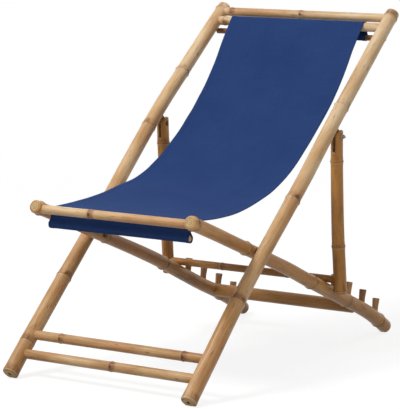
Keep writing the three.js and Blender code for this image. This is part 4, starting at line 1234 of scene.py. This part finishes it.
def ring_rows(inner, outer, start, end):
    """Rows of station and radius of a ring, round from its bore and back to it."""
    edge = METAL_EDGE
    return [
        (start, inner), (start, outer - edge), (start + edge, outer), (end - edge, outer),
        (end, outer - edge), (end, inner), (start, inner),
    ]


def bolt_rows(head_face, end):
    """Rows of a round-headed bolt, from its dome to its threaded end."""
    shoulder = head_face - BOLT_HEAD_HEIGHT
    dome = [(shoulder + BOLT_HEAD_HEIGHT * (1 - math.cos(t)), BOLT_HEAD_RADIUS * math.sin(t))
            for t in DOME_TURNS]
    return [
        *dome, (head_face - BOLT_HEAD_HEIGHT / 4, BOLT_HEAD_RADIUS), (head_face, BOLT_HEAD_RADIUS),
        (head_face, BOLT_RADIUS), (end - METAL_EDGE, BOLT_RADIUS), (end, BOLT_RADIUS - METAL_EDGE),
        (end, 0),
    ]


def make_nut(corner, start, end):
    """A chamfered six-sided nut: a thick ring cut back to its six flats."""
    build = turned(ring_rows(BORE, corner, start, end), FASTENER_SIDES)
    flat_reach = corner * math.cos(math.pi / NUT_FLATS)
    for vertex in build.verts:
        reach = math.hypot(vertex.co.x, vertex.co.z)
        turn = math.atan2(vertex.co.x, vertex.co.z) % (2 * math.pi / NUT_FLATS)
        limit = flat_reach / math.cos(turn - math.pi / NUT_FLATS)
        if reach > limit:
            vertex.co.x *= limit / reach
            vertex.co.z *= limit / reach
    return build


# The material given is the zinc finish or the dark painted shade steel.
def place_metal(build, node_name, body, centre, sign, finish_and_shade):
    smooth_round(build)
    build.transform(laid(centre, -sign * math.pi / 2, "Z"))
    place_piece(build, f"{node_name}_metal", (finish_and_shade,), body, node_name)


washer_end = SEAT_SPAN - SEAT_RADIUS + SPOT_DEPTH - FIT_GAP
washer_start = washer_end - WASHER_THICKNESS
spacer_start = SEAT_SPAN + SEAT_RADIUS + FIT_GAP
back_face = BACK_SPAN - BACK_RADIUS
insert_start = back_face + FIT_GAP
insert_end = insert_start + INSERT_LENGTH
fork_face = PROP_RADIUS - SPOT_DEPTH + FIT_GAP
hinge_washer = PROP_SPAN + fork_face
nut_start = hinge_washer + WASHER_THICKNESS + FIT_GAP
nut_end = nut_start + NUT_THICKNESS
for word, sign in SIDES:
    for name, rows in (
        ("bolt", bolt_rows(washer_start - FIT_GAP, insert_end)),
        ("washer", ring_rows(BORE, WASHER_RADIUS, washer_start, washer_end)),
        ("spacer", ring_rows(BORE, SPACER_RADIUS, spacer_start, back_face - FIT_GAP)),
        ("insert", ring_rows(BORE, INSERT_RADIUS, insert_start, insert_end)),
    ):
        build = turned(rows, FASTENER_SIDES)
        # Every pivot part gets the dark painted shade steel, not its zinc.
        place_metal(build, f"pivot_{name}_{word}", "main_frame", PIVOT_CENTRE, sign, shade_painted_steel)
    ring = ring_rows(BORE, WASHER_RADIUS, hinge_washer, hinge_washer + WASHER_THICKNESS)
    for name, build in (
        ("bolt", turned(bolt_rows(PROP_SPAN - fork_face, nut_end + BOLT_SHOW), FASTENER_SIDES)),
        ("washer", turned(ring, FASTENER_SIDES)),
        ("nut", make_nut(NUT_RADIUS, nut_start, nut_end)),
    ):
        finish_and_shade = HINGE_FINISH_AND_SHADE[word]
        place_metal(build, f"hinge_{name}_{word}", "prop_frame", HINGE_PLACE, sign, finish_and_shade)
